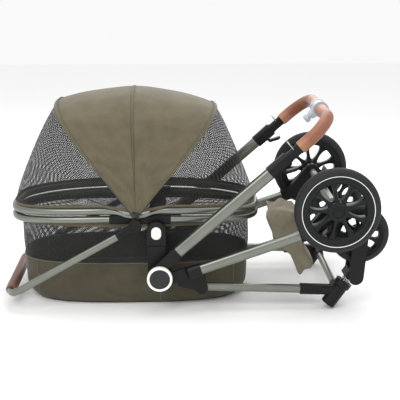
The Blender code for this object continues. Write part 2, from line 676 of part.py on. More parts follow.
def build_housing(label, side):
    start, end = HANDLE_HOUSING_START, HANDLE_HOUSING_END
    step = end - 0.0245
    wide = [half + FACE_GAP for half in HANDLE_TUBE]
    tight = [half + FACE_GAP for half in INNER_TUBE]
    stations = [(start, HANDLE_TUBE[0] + 0.0026, HANDLE_TUBE[1] + 0.0030, 3.2),
                (end, HANDLE_TUBE[0] + 0.0026, HANDLE_TUBE[1] + 0.0036, 3.2),
                (end, *tight, 2.8), (step, *tight, 2.8), (step, *wide, 2.8), (start, *wide, 2.8)]
    loops = []
    across = Vector(across_normal(HANDLE_ANGLE))
    for r, half_u, half_v, power in stations:
        point = Vector(flat(polar(HANDLE_ROOT, HANDLE_ANGLE, r), side * HANDLE_Y))
        loops.append([point + Vector((0, u, 0)) + across * v for u, v in rounded(half_u, half_v, power)])
    housing = node("handle_housing_" + label, "black_plastic", loops, closed=True)
    pivot = polar(HANDLE_ROOT, HANDLE_ANGLE, end - 0.030, -(HANDLE_TUBE[1] + 0.0100))
    root = polar(HANDLE_ROOT, HANDLE_ANGLE, end - 0.030, -(HANDLE_TUBE[1] + 0.0005))
    lug = link_outline(root, 0.005, pivot, 0.004, 6)
    inner, outer = HANDLE_Y - 0.0105, HANDLE_Y + 0.0105
    lug_in = plate(lug, side, inner - LUG_THICKNESS, inner)
    lug_out = plate(lug, side, outer, outer + LUG_THICKNESS)
    pin = disc(pivot, LEVER_PIN_RADIUS, side, inner - 0.001, outer + 0.001, 10)
    join(housing, *[node(f"{housing.name}_{name}", "black_plastic", loops) for name, loops in
                    (("lug_in", lug_in), ("lug_out", lug_out), ("pin", pin))])
    lever = arc(pivot, 0.0042, HANDLE_ANGLE + 60, HANDLE_ANGLE + 250, 6)
    lever += [polar(pivot, HANDLE_ANGLE, 0.026, -0.0165), polar(pivot, HANDLE_ANGLE, 0.035, -0.0150),
              polar(pivot, HANDLE_ANGLE, 0.037, -0.0115)]
    sheet = plate(lever, side, inner + RUNNING_GAP, outer - RUNNING_GAP)
    blade = node("height_lever_" + label, "black_plastic", sheet, origin=flat(pivot, side * HANDLE_Y))
    bore = disc(pivot, LEVER_PIN_RADIUS + RUNNING_GAP, side, inner - 0.004, outer + 0.004, 10)
    cut(blade, node("lever_bore_" + label, "steel", bore))


def build_handlebar(origin):
    """The upper U slides inside the two handle tubes."""
    normal = across_normal(HANDLE_ANGLE)
    path = bar_path(HANDLE_ROOT, HANDLE_ANGLE, 0.340, HANDLE_LENGTH, HANDLE_Y, HANDLE_CORNER)
    section = rounded(INNER_TUBE[1], INNER_TUBE[0], 2.8)
    bore = rounded(INNER_TUBE[1] - 0.0015, INNER_TUBE[0] - 0.0015, 2.8)
    node("handlebar", "aluminium", pipe(path, normal, section, bore), closed=True, origin=origin)
    hole = rounded(INNER_TUBE[1] + FACE_GAP, INNER_TUBE[0] + FACE_GAP, 2.8)
    skin = rounded(GRIP_RADIUS, GRIP_RADIUS - 0.0010, 2.2)
    corner = path[2:9]
    start = flat(polar(HANDLE_ROOT, HANDLE_ANGLE, HANDLE_HOUSING_END + 0.047), HANDLE_Y)
    end = flat(polar(HANDLE_ROOT, HANDLE_ANGLE, HANDLE_LENGTH), CENTRE_HALF + 0.006)
    for label, side in LEFT_RIGHT.items():
        lane = [(x, side * y, z) for x, y, z in [start] + corner + [end]]
        loops = pipe(lane, normal, skin, hole)
        node("handlebar_grip_" + label, "tan_leather", loops, closed=True, origin=origin)
    build_centre(normal, origin)


def build_centre(normal, origin):
    """Centre housing on the cross bar with a round flange at each end, and the fold button below it."""
    half = CENTRE_HALF
    stations = [(-half, 0.0245), (-half + 0.007, 0.0245), (-half + 0.009, 0.0215),
                (half - 0.009, 0.0215), (half - 0.007, 0.0245), (half, 0.0245)]
    bar = [flat(polar(HANDLE_ROOT, HANDLE_ANGLE, HANDLE_LENGTH), y) for y, _ in stations]
    skins = [rounded(r, r, 2.2, 16) for _, r in stations]
    plain = rounded(INNER_TUBE[1] + FACE_GAP, INNER_TUBE[0] + FACE_GAP, 2.8, 16)
    loops = along(bar, normal, skins) + along(bar, normal, [plain] * 6)[::-1]
    body = node("handlebar_centre", "grey_plastic", loops, closed=True, origin=origin)
    turn = math.radians(HANDLE_ANGLE)
    towards_hub = (-math.cos(turn), 0, -math.sin(turn))
    cross = flat(polar(HANDLE_ROOT, HANDLE_ANGLE, HANDLE_LENGTH), 0)
    stem_end = 0.0370
    pocket, shank = BUTTON_SHANK + 0.0002, BUTTON_SHANK
    stem = turned(cross, towards_hub, [(0.0150, 0.0165), (0.0140, stem_end), (pocket, stem_end),
                                       (pocket, stem_end - 0.0155)], 16)
    cap = turned(cross, towards_hub, [(shank, stem_end - 0.0095), (shank, stem_end + 0.0070),
                                      (0.0130, stem_end + 0.0070), (0.0125, stem_end + 0.0190),
                                      (0.0095, stem_end + 0.0215)], 16)
    join(body, node("centre_stem", "grey_plastic", stem))
    node("fold_button", "grey_plastic", cap, origin=cross)


# ---- rear frame ------------------------------------------------------------------------------------------


def build_rear_frame():
    eye_y = sum(REAR_EYE) / 2
    eye_half = (REAR_EYE[1] - REAR_EYE[0]) / 2
    bore = [half + FACE_GAP for half in REAR_TUBE]
    for label, side in LEFT_RIGHT.items():
        high = REAR_SLEEVE_HALF
        sleeve = arm_sections(
            [(0.012, eye_y, eye_half, high, 6), (0.078, eye_y, eye_half, high, 6),
             (0.086, REAR_LEG_Y, 0.0142, high, 4), (REAR_LEG_START, REAR_LEG_Y, 0.0148, high, 4),
             (REAR_LEG_START, REAR_LEG_Y, *bore, 2.8), (REAR_LEG_START - 0.024, REAR_LEG_Y, *bore, 2.8)],
            side, HUB, REAR_ANGLE, "rear_sleeve_" + label, -REAR_DROP)
        eye = disc(HUB, 0.0265, side, *REAR_EYE)
        plate_out = REAR_LEG_Y - 0.0100
        top = FOLD[1] + REAR_PLATE_TOP - REAR_DROP
        outline = [(FOLD[0] + 0.010, top)] + arc(FOLD, 0.0185, 20, -160, 10)
        outline += [(HUB_X + 0.055, HUB_Z - 0.034), (HUB_X + 0.050, HUB_Z - 0.010)]
        outline += [(FOLD[0] - 0.040, top - 0.005)]
        bracket = plate(outline, side, REAR_EYE[0], plate_out)
        pin = disc(FOLD, FOLD_PIN_RADIUS, side, FRONT_LEG_Y - 0.0115, REAR_EYE[0] + 0.002, 12)
        join(sleeve, *[node(f"{sleeve.name}_{name}", "black_plastic", loops) for name, loops in
                       (("eye", eye), ("bracket", bracket), ("pin", pin))])
        hub_bore = disc(HUB, HUB_PIN_RADIUS + RUNNING_GAP, side, REAR_EYE[0] - 0.01, REAR_EYE[1] + 0.01)
        cut(sleeve, node("rear_bore_" + label, "steel", hub_bore))
        build_rear_leg(label, side)
    axle_half = REAR_LEG_Y - 0.0133
    axle = [flat(REAR_AXLE, y) for y in (-axle_half, axle_half)]
    skin = rounded(AXLE_TUBE_RADIUS, AXLE_TUBE_RADIUS, 2, 16)
    bore = rounded(AXLE_TUBE_RADIUS - 0.0025, AXLE_TUBE_RADIUS - 0.0025, 2, 16)
    node("rear_axle_tube", "aluminium", pipe(axle, (0, 0, 1), skin, bore), closed=True)
    build_brake_pedal()


def build_rear_leg(label, side):
    ends = (REAR_LEG_START - 0.0235, REAR_LEG_END + 0.0235)
    wall = [half - 0.0015 for half in REAR_TUBE]
    path = [flat(polar(HUB, REAR_ANGLE, r, -REAR_DROP), side * REAR_LEG_Y) for r in ends]
    node("rear_leg_" + label, "aluminium",
         pipe(path, (0, 1, 0), rounded(*REAR_TUBE, 2.8), rounded(*wall, 2.8)), closed=True)
    low = polar(HUB, REAR_ANGLE, REAR_LEG_END, -REAR_DROP + REAR_SLEEVE_HALF)
    turn_in = polar(HUB, REAR_ANGLE, REAR_LEG_END + 0.034, -REAR_DROP)
    outline = [low, polar(HUB, REAR_ANGLE, REAR_LEG_END, -REAR_DROP - REAR_SLEEVE_HALF)]
    outline += [polar(turn_in, REAR_ANGLE, 0.012, -REAR_SLEEVE_HALF)]
    outline += arc(REAR_AXLE, 0.0250, -45, 135, 12)
    outline += [polar(turn_in, REAR_ANGLE, -0.006, 0.0190)]
    inner, outer = REAR_LEG_Y - 0.0130, REAR_LEG_Y + 0.0145
    carrier = node("wheel_carrier_" + label, "black_plastic", plate(outline, side, inner, outer))
    spigot = disc(REAR_AXLE, AXLE_TUBE_RADIUS - 0.0029, side, inner - 0.018, inner + 0.004, 16)
    collar = disc(REAR_AXLE, 0.0120, side, outer - 0.002, REAR_WHEEL_IN - 0.0020, 16)
    spindle = disc(REAR_AXLE, SPINDLE_RADIUS, side, outer, REAR_WHEEL_OUT - 0.0080, 16)
    join(carrier, *[node(f"{carrier.name}_{name}", "black_plastic", loops) for name, loops in
                    (("spigot", spigot), ("collar", collar), ("spindle", spindle))])
    path = [flat(polar(HUB, REAR_ANGLE, r, -REAR_DROP), side * REAR_LEG_Y)
            for r in (REAR_LEG_END - 0.006, REAR_LEG_END + 0.024)]
    socket = rounded(*[half + FACE_GAP for half in REAR_TUBE], 2.8)
    cut(carrier, node("carrier_socket_" + label, "steel", along(path, (0, 1, 0), socket)))


def build_brake_pedal():
    """A foot pedal that turns on the axle tube."""
    reach = polar(REAR_AXLE, REAR_ANGLE + 64, 0.062)
    outline = link_outline(REAR_AXLE, 0.0175, reach, 0.0040, 6)
    half = PEDAL_WIDTH / 2
    pedal = node("brake_pedal", "black_plastic", plate(outline, 1, -half, half), origin=flat(REAR_AXLE, 0))
    bore = disc(REAR_AXLE, AXLE_TUBE_RADIUS + RUNNING_GAP, 1, -half - 0.01, half + 0.01, 16)
    cut(pedal, node("pedal_bore", "steel", bore))


def wheel_profile(radius, low, high, inner, shoulder):
    """A tyre section: (radius, distance) pairs of a closed ring."""
    middle = (low + high) / 2
    return [(inner, low + 0.003), (radius - shoulder, low), (radius - 0.003, low + 0.006),
            (radius, middle), (radius - 0.003, high - 0.006), (radius - shoulder, high),
            (inner, high - 0.003)]


def rim_loops(centre, side, low, high, radius, band):
    """Rear wheel rim: hub, a thinner web that the windows are cut from, and the outer band."""
    hub, bore = REAR_HUB_RADIUS, SPINDLE_RADIUS + RUNNING_GAP
    thin_low, thin_high = low + 0.009, high - 0.009
    profile = [(bore, low + 0.001), (hub, low + 0.001), (hub + 0.004, thin_low), (band + 0.002, thin_low),
               (radius, low + 0.003), (radius, high - 0.003), (band + 0.002, thin_high),
               (hub + 0.004, thin_high), (hub, high - 0.001), (bore, high - 0.001)]
    return turned(centre, (0, side, 0), profile, WHEEL_SIDES)


def window_outline(centre, angle, hub, band):
    """One opening between two spokes: a round root and an outer edge along the band."""
    root = polar(centre, angle, hub + 0.016)
    reach = 180 / SPOKES - 2.2
    outer = [polar(centre, angle + reach * share, band) for share in (-1, 0, 1)]
    return outer + arc(root, 0.0115, angle + 85, angle + 275, 2)


def cut_windows(rim, centre, side, low, high, hub, band):
    for i in range(SPOKES):
        angle = FIRST_SPOKE + 360 * (i + 0.5) / SPOKES
        outline = window_outline(centre, angle, hub, band)
        cut(rim, node(f"{rim.name}_window_{i}", "steel", plate(outline, side, low - 0.01, high + 0.01)))


def build_rear_wheels():
    for label, side in LEFT_RIGHT.items():
        centre = flat(REAR_AXLE, 0)
        place = flat(REAR_AXLE, side * (REAR_WHEEL_IN + REAR_WHEEL_OUT) / 2)
        inner = REAR_WHEEL_RADIUS - 0.0240
        profile = wheel_profile(REAR_WHEEL_RADIUS, REAR_WHEEL_IN, REAR_WHEEL_OUT, inner, 0.012)
        tyre = turned(centre, (0, side, 0), profile, WHEEL_SIDES)
        node("rear_tyre_" + label, "tyre_rubber", tyre, closed=True, origin=place)
        band = REAR_WHEEL_RADIUS * 0.655
        loops = rim_loops(centre, side, REAR_WHEEL_IN, REAR_WHEEL_OUT, inner - FACE_GAP, band)
        rim = node("rear_rim_" + label, "black_plastic", loops, closed=True, origin=place)
        cut_windows(rim, REAR_AXLE, side, REAR_WHEEL_IN, REAR_WHEEL_OUT, REAR_HUB_RADIUS, band - 0.001)


# ---- front frame -----------------------------------------------------------------------------------------


def caster_axis():
    return (math.cos(CASTER_LINE), 0, math.sin(CASTER_LINE))


def caster_turned(side, profile, sides=20):
    centre = (CASTER_FOOT[0], side * FRONT_LEG_Y, CASTER_FOOT[1])
    return turned(centre, caster_axis(), profile, sides)


def build_front_frame():
    eye = (FRONT_LEG_Y - 0.0110, FRONT_LEG_Y + 0.0113)
    bore = [half + FACE_GAP for half in FRONT_TUBE]
    wall = [half - 0.0015 for half in FRONT_TUBE]
    for label, side in LEFT_RIGHT.items():
        stations = [(0.010, *FRONT_TUBE), (FRONT_LEG_LENGTH + 0.0235, *FRONT_TUBE),
                    (FRONT_LEG_LENGTH + 0.0235, *wall), (0.040, *wall)]
        leg = arm_sections([(r, FRONT_LEG_Y, u, v, 2.8) for r, u, v in stations], side, FOLD, FRONT_ANGLE,
                           "front_leg_" + label, finish="aluminium")
        join(leg, node("front_eye_" + label, "aluminium", disc(FOLD, 0.0135, side, *eye, 16)))
        fold_bore = disc(FOLD, FOLD_PIN_RADIUS + RUNNING_GAP, side, eye[0] - 0.02, eye[1] + 0.02, 12)
        cut(leg, node("front_bore_" + label, "steel", fold_bore))
        length = FRONT_LEG_LENGTH
        sleeve = arm_sections(
            [(length + 0.105, FRONT_LEG_Y, 0.0150, 0.0150, 4), (length, FRONT_LEG_Y, 0.0140, 0.0158, 4),
             (length, FRONT_LEG_Y, *bore, 2.8), (length + 0.024, FRONT_LEG_Y, *bore, 2.8)],
            side, FOLD, FRONT_ANGLE, "caster_sleeve_" + label)
        barrel = caster_turned(side, [(BARREL_RADIUS, 0), (BARREL_RADIUS, 0.066), (0.0265, 0.070),
                                      (0.0265, BARREL_LENGTH)])
        spigot = disc(cross_tube_place(), 0.0078, side, FRONT_LEG_Y - 0.040, FRONT_LEG_Y, 12)
        join(sleeve, node("barrel_" + label, "black_plastic", barrel),
             node("cross_spigot_" + label, "black_plastic", spigot))
        hollow = caster_turned(side, [(STEM_RADIUS + RUNNING_GAP, 0.006), (STEM_RADIUS + RUNNING_GAP, 0.066),
                                      (0.0165, 0.066), (0.0165, 0.1)], 16)
        cut(sleeve, node("barrel_bore_" + label, "steel", hollow))
        build_caster(label, side)
    half = FRONT_LEG_Y - BARREL_RADIUS - 0.0005
    cross = [flat(cross_tube_place(), y) for y in (-half, half)]
    node("front_cross_tube", "aluminium",
         pipe(cross, (0, 0, 1), rounded(0.0110, 0.0110), rounded(0.0090, 0.0090)), closed=True)


def cross_tube_place():
    return polar(CASTER_FOOT, CASTER_ANGLE, 0.050)


def build_caster(label, side):
    """Swivel stem in the barrel, a coil round it, and the fork that slides on it."""
    place = (CASTER_FOOT[0], side * FRONT_LEG_Y, CASTER_FOOT[1])
    stem = caster_turned(side, [(STEM_RADIUS, STEM_START), (STEM_RADIUS, STEM_START + STEM_LENGTH)], 16)
    node("caster_stem_" + label, "steel", stem, origin=place)
    coil(label, side, 0.0125, 0.0014, 0.0685, 0.1020, 4)
    half = FRONT_WHEEL_WIDTH / 2
    plate_in, plate_out = half + 0.0105, half + 0.0165
    outline = link_outline(FORK_BOSS, 0.0230, FRONT_AXLE, 0.0225, 12)
    sheets = [plate(outline, side, FRONT_LEG_Y + sign * low, FRONT_LEG_Y + sign * high)
              for sign, low, high in ((1, plate_in, plate_out), (-1, plate_in, plate_out))]
    corners = ((0.104, 0.018), (0.104, -0.030), (0.124, -0.030), (0.134, -0.006), (0.130, 0.018))
    crown_outline = [polar(CASTER_FOOT, CASTER_ANGLE, r, off) for r, off in corners]
    crown_half = plate_in + 0.001
    crown = plate(crown_outline, side, FRONT_LEG_Y - crown_half, FRONT_LEG_Y + crown_half)
    fork = node("fork_" + label, "black_plastic", crown, origin=place)
    axle_half = plate_out - 0.001
    axle = disc(FRONT_AXLE, 0.0045, side, FRONT_LEG_Y - axle_half, FRONT_LEG_Y + axle_half, 12)
    join(fork, *[node(f"fork_{name}_{label}", "black_plastic", loops) for name, loops in
                 (("sheet_out", sheets[0]), ("sheet_in", sheets[1]), ("axle", axle))])
    deep = STEM_START + STEM_LENGTH + FORK_TRAVEL + 0.001
    bore = caster_turned(side, [(STEM_RADIUS + RUNNING_GAP, 0.09), (STEM_RADIUS + RUNNING_GAP, deep)], 16)
    cut(fork, node("fork_bore_" + label, "steel", bore))
    build_front_wheel(label, side)


def coil(label, side, radius, wire, low, high, turns):
    """A helical spring round the stem."""
    steps = 7 * turns
    centre = Vector((CASTER_FOOT[0], side * FRONT_LEG_Y, CASTER_FOOT[1]))
    axis = Vector(caster_axis())
    first = axis.orthogonal().normalized()
    second = axis.cross(first)
    loops = []
    for i in range(steps + 1):
        turn = 2 * math.pi * turns * i / steps
        out = first * math.cos(turn) + second * math.sin(turn)
        point = centre + out * radius + axis * (low + wire + (high - low - 2 * wire) * i / steps)
        loops.append([point + out * (wire * math.cos(a)) + axis * (wire * math.sin(a))
                      for a in (0, math.pi / 2, math.pi, 3 * math.pi / 2)])
    node("front_spring_" + label, "steel", loops, origin=tuple(centre))


def build_front_wheel(label, side):
    centre = (FRONT_AXLE[0], 0, FRONT_AXLE[1])
    low, high = FRONT_LEG_Y - FRONT_WHEEL_WIDTH / 2, FRONT_LEG_Y + FRONT_WHEEL_WIDTH / 2
    place = flat(FRONT_AXLE, side * FRONT_LEG_Y)
    band = FRONT_WHEEL_RADIUS * 0.66
    profile = [(0.0048, low - 0.006), (0.022, low - 0.006), (0.026, low + 0.009), (band + 0.002, low + 0.009),
               (FRONT_WHEEL_RADIUS - 0.009, low), (FRONT_WHEEL_RADIUS, (low + high) / 2),
               (FRONT_WHEEL_RADIUS - 0.009, high), (band + 0.002, high - 0.009), (0.026, high - 0.009),
               (0.022, high + 0.006), (0.0048, high + 0.006)]
    wheel = node("front_wheel_" + label, "tyre_rubber", turned(centre, (0, side, 0), profile, WHEEL_SIDES),
                 closed=True, origin=place)
    cut_windows(wheel, FRONT_AXLE, side, low, high, FRONT_HUB_RADIUS, band - 0.001)


# ---- basket ----------------------------------------------------------------------------------------------


def build_basket():
    """The collapsed storage basket, a slack slab of cloth between the two frames."""
    steps = [(0, 0), (0.025, -0.087), (0.078, -0.142), (0.108, -0.202), (0.140, -0.192), (0.160, -0.162),
             (0.135, -0.122), (0.120, -0.067), (0.145, -0.002), (0.080, 0.008)]
    loops = [[(BASKET_X + x, y, BASKET_TOP + z) for x, z in steps] for y in (-BASKET_HALF, 0.0, BASKET_HALF)]
    node("storage_basket", "olive_fabric", loops)


def main():
    for obj in list(bpy.data.objects):
        bpy.data.objects.remove(obj, do_unlink=True)
    build_tub()
    build_lower_rims()
    build_brackets()
    build_hood()
    build_carry_handle()
    build_hubs()
    build_handle()
    build_rear_frame()
    build_rear_wheels()
    build_front_frame()
    build_basket()


main()
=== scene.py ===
"""Looks of the folded pet stroller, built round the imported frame.

Metres, in the frame's own axes: +Z up, +X from the carrier to the folded wheels, -Y the left side.
Tubes, wheels, mouldings and soft goods are drawn fine here, on the places that the frame gives.
"""

import json
import math

import bmesh
import bpy
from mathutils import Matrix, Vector, noise


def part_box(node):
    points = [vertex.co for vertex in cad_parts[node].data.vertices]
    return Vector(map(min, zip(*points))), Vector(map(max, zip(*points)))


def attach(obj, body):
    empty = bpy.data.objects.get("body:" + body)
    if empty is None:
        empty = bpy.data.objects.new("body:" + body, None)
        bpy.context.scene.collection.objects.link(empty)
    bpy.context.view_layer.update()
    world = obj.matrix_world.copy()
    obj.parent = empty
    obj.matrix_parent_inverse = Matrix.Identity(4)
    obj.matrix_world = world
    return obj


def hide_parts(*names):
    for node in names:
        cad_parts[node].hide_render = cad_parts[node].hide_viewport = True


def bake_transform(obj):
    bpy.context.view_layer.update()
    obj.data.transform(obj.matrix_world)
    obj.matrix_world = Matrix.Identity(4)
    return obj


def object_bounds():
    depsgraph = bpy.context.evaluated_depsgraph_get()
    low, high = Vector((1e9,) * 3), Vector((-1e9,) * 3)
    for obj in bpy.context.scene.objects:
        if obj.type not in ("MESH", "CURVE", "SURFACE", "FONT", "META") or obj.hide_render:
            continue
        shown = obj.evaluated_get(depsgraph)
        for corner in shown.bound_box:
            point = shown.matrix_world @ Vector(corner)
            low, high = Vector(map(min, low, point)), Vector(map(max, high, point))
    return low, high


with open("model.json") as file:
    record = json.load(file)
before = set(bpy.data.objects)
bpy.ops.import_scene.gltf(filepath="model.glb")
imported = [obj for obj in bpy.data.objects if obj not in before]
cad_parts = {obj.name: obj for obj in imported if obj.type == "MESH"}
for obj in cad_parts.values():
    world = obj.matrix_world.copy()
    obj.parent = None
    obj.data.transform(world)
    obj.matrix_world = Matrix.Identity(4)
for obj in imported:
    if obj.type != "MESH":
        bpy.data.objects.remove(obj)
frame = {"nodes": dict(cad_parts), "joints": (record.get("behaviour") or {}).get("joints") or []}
cad_box = [list(corner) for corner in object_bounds()]

JOINTS = {joint["name"]: joint for joint in frame["joints"]}
LEFT_RIGHT = {"left": -1, "right": 1}


def pivot(joint):
    """A joint's place in the side view, as (x, z)."""
    x, _, z = JOINTS[joint]["pos_m"]
    return (x, z)


def across(node):
    """A right-hand node's inner and outer distance from the middle plane."""
    low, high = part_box(node)
    return low.y, high.y


# Places from the frame.
HUB = pivot("rear_frame_fold")
HANDLE_ROOT = (HUB[0] - 0.0142, HUB[1] + 0.0153)
HOOD = pivot("hood_fold")
CARRY = pivot("carry_handle_turn")
FOLD = pivot("front_frame_fold")
REAR_AXLE = pivot("rear_wheel_spin_right")
FRONT_AXLE = pivot("front_wheel_spin_right")
CASTER_FOOT = pivot("caster_swivel_right")
CASTER_AXIS = JOINTS["caster_swivel_right"]["axis"]
HANDLE_AXIS = JOINTS["handle_height"]["axis"]
HANDLE_ANGLE = math.degrees(math.atan2(HANDLE_AXIS[2], HANDLE_AXIS[0]))
CASTER_ANGLE = math.degrees(math.atan2(CASTER_AXIS[2], CASTER_AXIS[0]))

# Carrier.
RIM_RADIUS = 0.011
RIM_POWER = 3.0
RIM_END_DROP = 0.014
CARRIER_HALF = -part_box("lower_rim_front")[0].x - RIM_RADIUS
RIM_HALF = 0.173
LOWER_RIM_Z = 0.282
UPPER_RIM_Z = LOWER_RIM_Z + 2 * RIM_RADIUS + 0.0045
TUB_INSET = RIM_RADIUS + 0.005
TUB_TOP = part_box("tub_fabric")[1].z
PANEL_TOP = 0.137
BRACKET_FRONT, BRACKET_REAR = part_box("side_bracket_right")[0].x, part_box("side_bracket_right")[1].x
BRACKET_OUT = RIM_HALF + RIM_RADIUS + 0.002

# Hood bows: angle in degrees, reach, and layer on the pin.
BOWS = {"rear_bow": (51.4, 0.390, 2), "centre_bow": (91.0, 0.358, 3), "front_bow": (126.8, 0.400, 4)}
BOW_LEG = 0.20
LAYER_PITCH = 0.003

# Frames.
HANDLE_Y = BRACKET_OUT + 0.0405
REAR_LEG_Y = BRACKET_OUT + 0.0420
FRONT_LEG_Y = BRACKET_OUT + 0.0120
CARRY_Y = BRACKET_OUT + 0.0305
HANDLE_TUBE = (0.0135, 0.0180)
INNER_TUBE = (0.0105, 0.0138)
HANDLE_REACH = 0.690
HANDLE_CORNER = 0.090
HOUSING = (0.456, 0.524)
REAR_ANGLE = 19.1
REAR_DROP = 0.019
FRONT_ANGLE = -2.2
CARRY_ANGLE = 209.3
CARRY_REACH = CARRIER_HALF + 0.0685
CARRY_CORNER = 0.055
SPOKES = 9
FIRST_SPOKE = 99.5
FINE = 32

# A wave texture's scale for one wave per millimetre, when its place is in metres.
WAVES_PER_MM = 1000 * math.pi / 10


# ---- mesh helpers ----------------------------------------------------------------------------------------


def rounded(half_u, half_v, power=2.0, sides=FINE):
    """A superellipse outline: power 2 is an ellipse, higher is squarer."""
    points = []
    for i in range(sides):
        turn = 2 * math.pi * (i + 0.5) / sides
        c, s = math.cos(turn), math.sin(turn)
        points.append((half_u * math.copysign(abs(c) ** (2 / power), c),
                       half_v * math.copysign(abs(s) ** (2 / power), s)))
    return points


def along(path, normal, sections):
    """Section loops along a path: u runs along the given normal, v across the path."""
    normal = Vector(normal).normalized()
    path = [Vector(point) for point in path]
    loops = []
    for i, point in enumerate(path):
        tangent = (path[min(i + 1, len(path) - 1)] - path[max(i - 1, 0)]).normalized()
        sideways = normal.cross(tangent).normalized()
        section = sections[i] if isinstance(sections[0], list) else sections
        loops.append([point + normal * u + sideways * v for u, v in section])
    return loops


def turned(centre, axis, profile, sides=64):
    """Loops of a turned shape from (radius, distance along the axis) pairs."""
    axis = Vector(axis).normalized()
    first = axis.orthogonal().normalized()
    second = axis.cross(first)
    loops = []
    for radius, height in profile:
        ring = []
        for i in range(sides):
            turn = 2 * math.pi * i / sides
            out = first * math.cos(turn) + second * math.sin(turn)
            ring.append(Vector(centre) + axis * height + out * radius)
        loops.append(ring)
    return loops


def flat(point, y):
    return (point[0], y, point[1])


def polar(centre, angle, distance, offset=0.0):
    """A side view point: so far along a direction and so far to its left."""
    turn = math.radians(angle)
    return (centre[0] + distance * math.cos(turn) - offset * math.sin(turn),
            centre[1] + distance * math.sin(turn) + offset * math.cos(turn))


def across_normal(angle):
    turn = math.radians(angle)
    return (-math.sin(turn), 0, math.cos(turn))


def smooth_path(points, steps=8):
    """A Catmull-Rom curve through points."""
    points = [Vector(p) for p in points]
    ends = [2 * points[0] - points[1]] + points + [2 * points[-1] - points[-2]]
    path = []
    for a, b, c, d in zip(ends, ends[1:], ends[2:], ends[3:]):
        for i in range(steps):
            t = i / steps
            path.append(0.5 * (2 * b + (c - a) * t + (2 * a - 5 * b + 4 * c - d) * t ** 2
                               + (3 * b - a - 3 * c + d) * t ** 3))
    return path + [points[-1]]


def lay_weave(bm, rings, closed):
    """UVs in metres along and across the rows of points, for weave, stitches and grain."""
    layer = bm.loops.layers.uv.new("weave")
    places = {}
    rise = 0.0
    for i, ring in enumerate(rings):
        if i:
            rise += sum((a.co - b.co).length for a, b in zip(ring, rings[i - 1])) / len(ring)
        run = 0.0
        for j, vert in enumerate(ring):
            if j:
                run += (vert.co - ring[j - 1].co).length
            places[vert] = (run, rise)
    for face in bm.faces:
        spots = [places.get(loop.vert, (0, 0)) for loop in face.loops]
        widest = max(u for u, _ in spots)
        for loop, (u, v) in zip(face.loops, spots):
            wraps = closed and widest - u > 0.5 * widest and u == 0
            loop[layer].uv = (widest if wraps else u, v)


def new_piece(name, bm, finish, sharp):
    mesh = bpy.data.meshes.new(name)
    bmesh.ops.recalc_face_normals(bm, faces=bm.faces)
    bm.to_mesh(mesh)
    bm.free()
    mesh.shade_smooth()
    mesh.set_sharp_from_angle(angle=math.radians(sharp))
    piece = bpy.data.objects.new(name, mesh)
    bpy.context.scene.collection.objects.link(piece)
    mesh.materials.append(finish)
    return piece


def skin(name, loops, finish, closed=False, caps=True, ring=True, sharp=40):
    """One piece from a row of point loops: neighbours are skinned, and the two ends are capped."""
    bm = bmesh.new()
    rings = [[bm.verts.new(Vector(point)) for point in loop] for loop in loops]
    pairs = list(zip(rings, rings[1:]))
    if closed:
        pairs.append((rings[-1], rings[0]))
    for first, second in pairs:
        for i in range(len(first) - (0 if ring else 1)):
            j = (i + 1) % len(first)
            bm.faces.new((first[i], first[j], second[j], second[i]))
    if caps and not closed and ring:
        bm.faces.new(rings[0][::-1])
        bm.faces.new(rings[-1])
    lay_weave(bm, rings, ring)
    return new_piece(name, bm, finish, sharp)


def bevelled(piece, width, segments=3, angle=35):
    step = piece.modifiers.new("edges", "BEVEL")
    step.width = width
    step.segments = segments
    step.limit_method = "ANGLE"
    step.angle_limit = math.radians(angle)
    step.harden_normals = True
    return piece


def thick(piece, thickness, offset=0.0):
    step = piece.modifiers.new("thickness", "SOLIDIFY")
    step.thickness = thickness
    step.offset = offset
    return piece


def rounder(piece, levels=1):
    step = piece.modifiers.new("smooth", "SUBSURF")
    step.levels = levels
    step.render_levels = levels
    return piece


def put(piece, body, slot, *nodes):
    """The piece rides on a body and stands for CAD nodes, which it hides; the slot is not used."""
    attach(piece, body)
    if nodes:
        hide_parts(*nodes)
    return piece


def moulded(node, body, slot, finish, width=0.0012, name=None):
    """A CAD moulding with its flat faces cleaned up and its edges rounded."""
    bm = bmesh.new()
    bm.from_mesh(frame["nodes"][node].data)
    bmesh.ops.remove_doubles(bm, verts=bm.verts, dist=2e-5)
    bmesh.ops.dissolve_limit(bm, angle_limit=math.radians(1.5), verts=bm.verts, edges=bm.edges)
    piece = new_piece(name or node + "_moulding", bm, finish, 32)
    bevelled(piece, width, 3, 32)
    return put(piece, body, slot, node)


# ---- finishes --------------------------------------------------------------------------------------------


def linear(hex_colour):
    """Linear RGBA from an sRGB hex colour."""
    parts = [int(hex_colour[i:i + 2], 16) / 255 for i in (1, 3, 5)]
    return (*[p / 12.92 if p <= 0.04045 else ((p + 0.055) / 1.055) ** 2.4 for p in parts], 1)


def add(tree, kind, inputs=None, **settings):
    """Adds a node: settings are its own, inputs are values or links by socket name."""
    made = tree.nodes.new(kind)
    for key, value in settings.items():
        setattr(made, key, value)
    for key, value in (inputs or {}).items():
        if isinstance(value, bpy.types.NodeSocket):
            tree.links.new(value, made.inputs[key])
        else:
            made.inputs[key].default_value = value
    return made


def surface(name, colour, roughness, metallic=0.0, **more):
    """A new material, its node tree and its shader, with the values that are the same all over."""
    made = bpy.data.materials.new(name)
    made.use_nodes = True
    made.diffuse_color = linear(colour)
    tree = made.node_tree
    shader = tree.nodes["Principled BSDF"]
    shader.inputs["Base Color"].default_value = linear(colour)
    shader.inputs["Roughness"].default_value = roughness
    shader.inputs["Metallic"].default_value = metallic
    for key, value in more.items():
        shader.inputs[key.replace("_", " ").title()].default_value = value
    return made, tree, shader


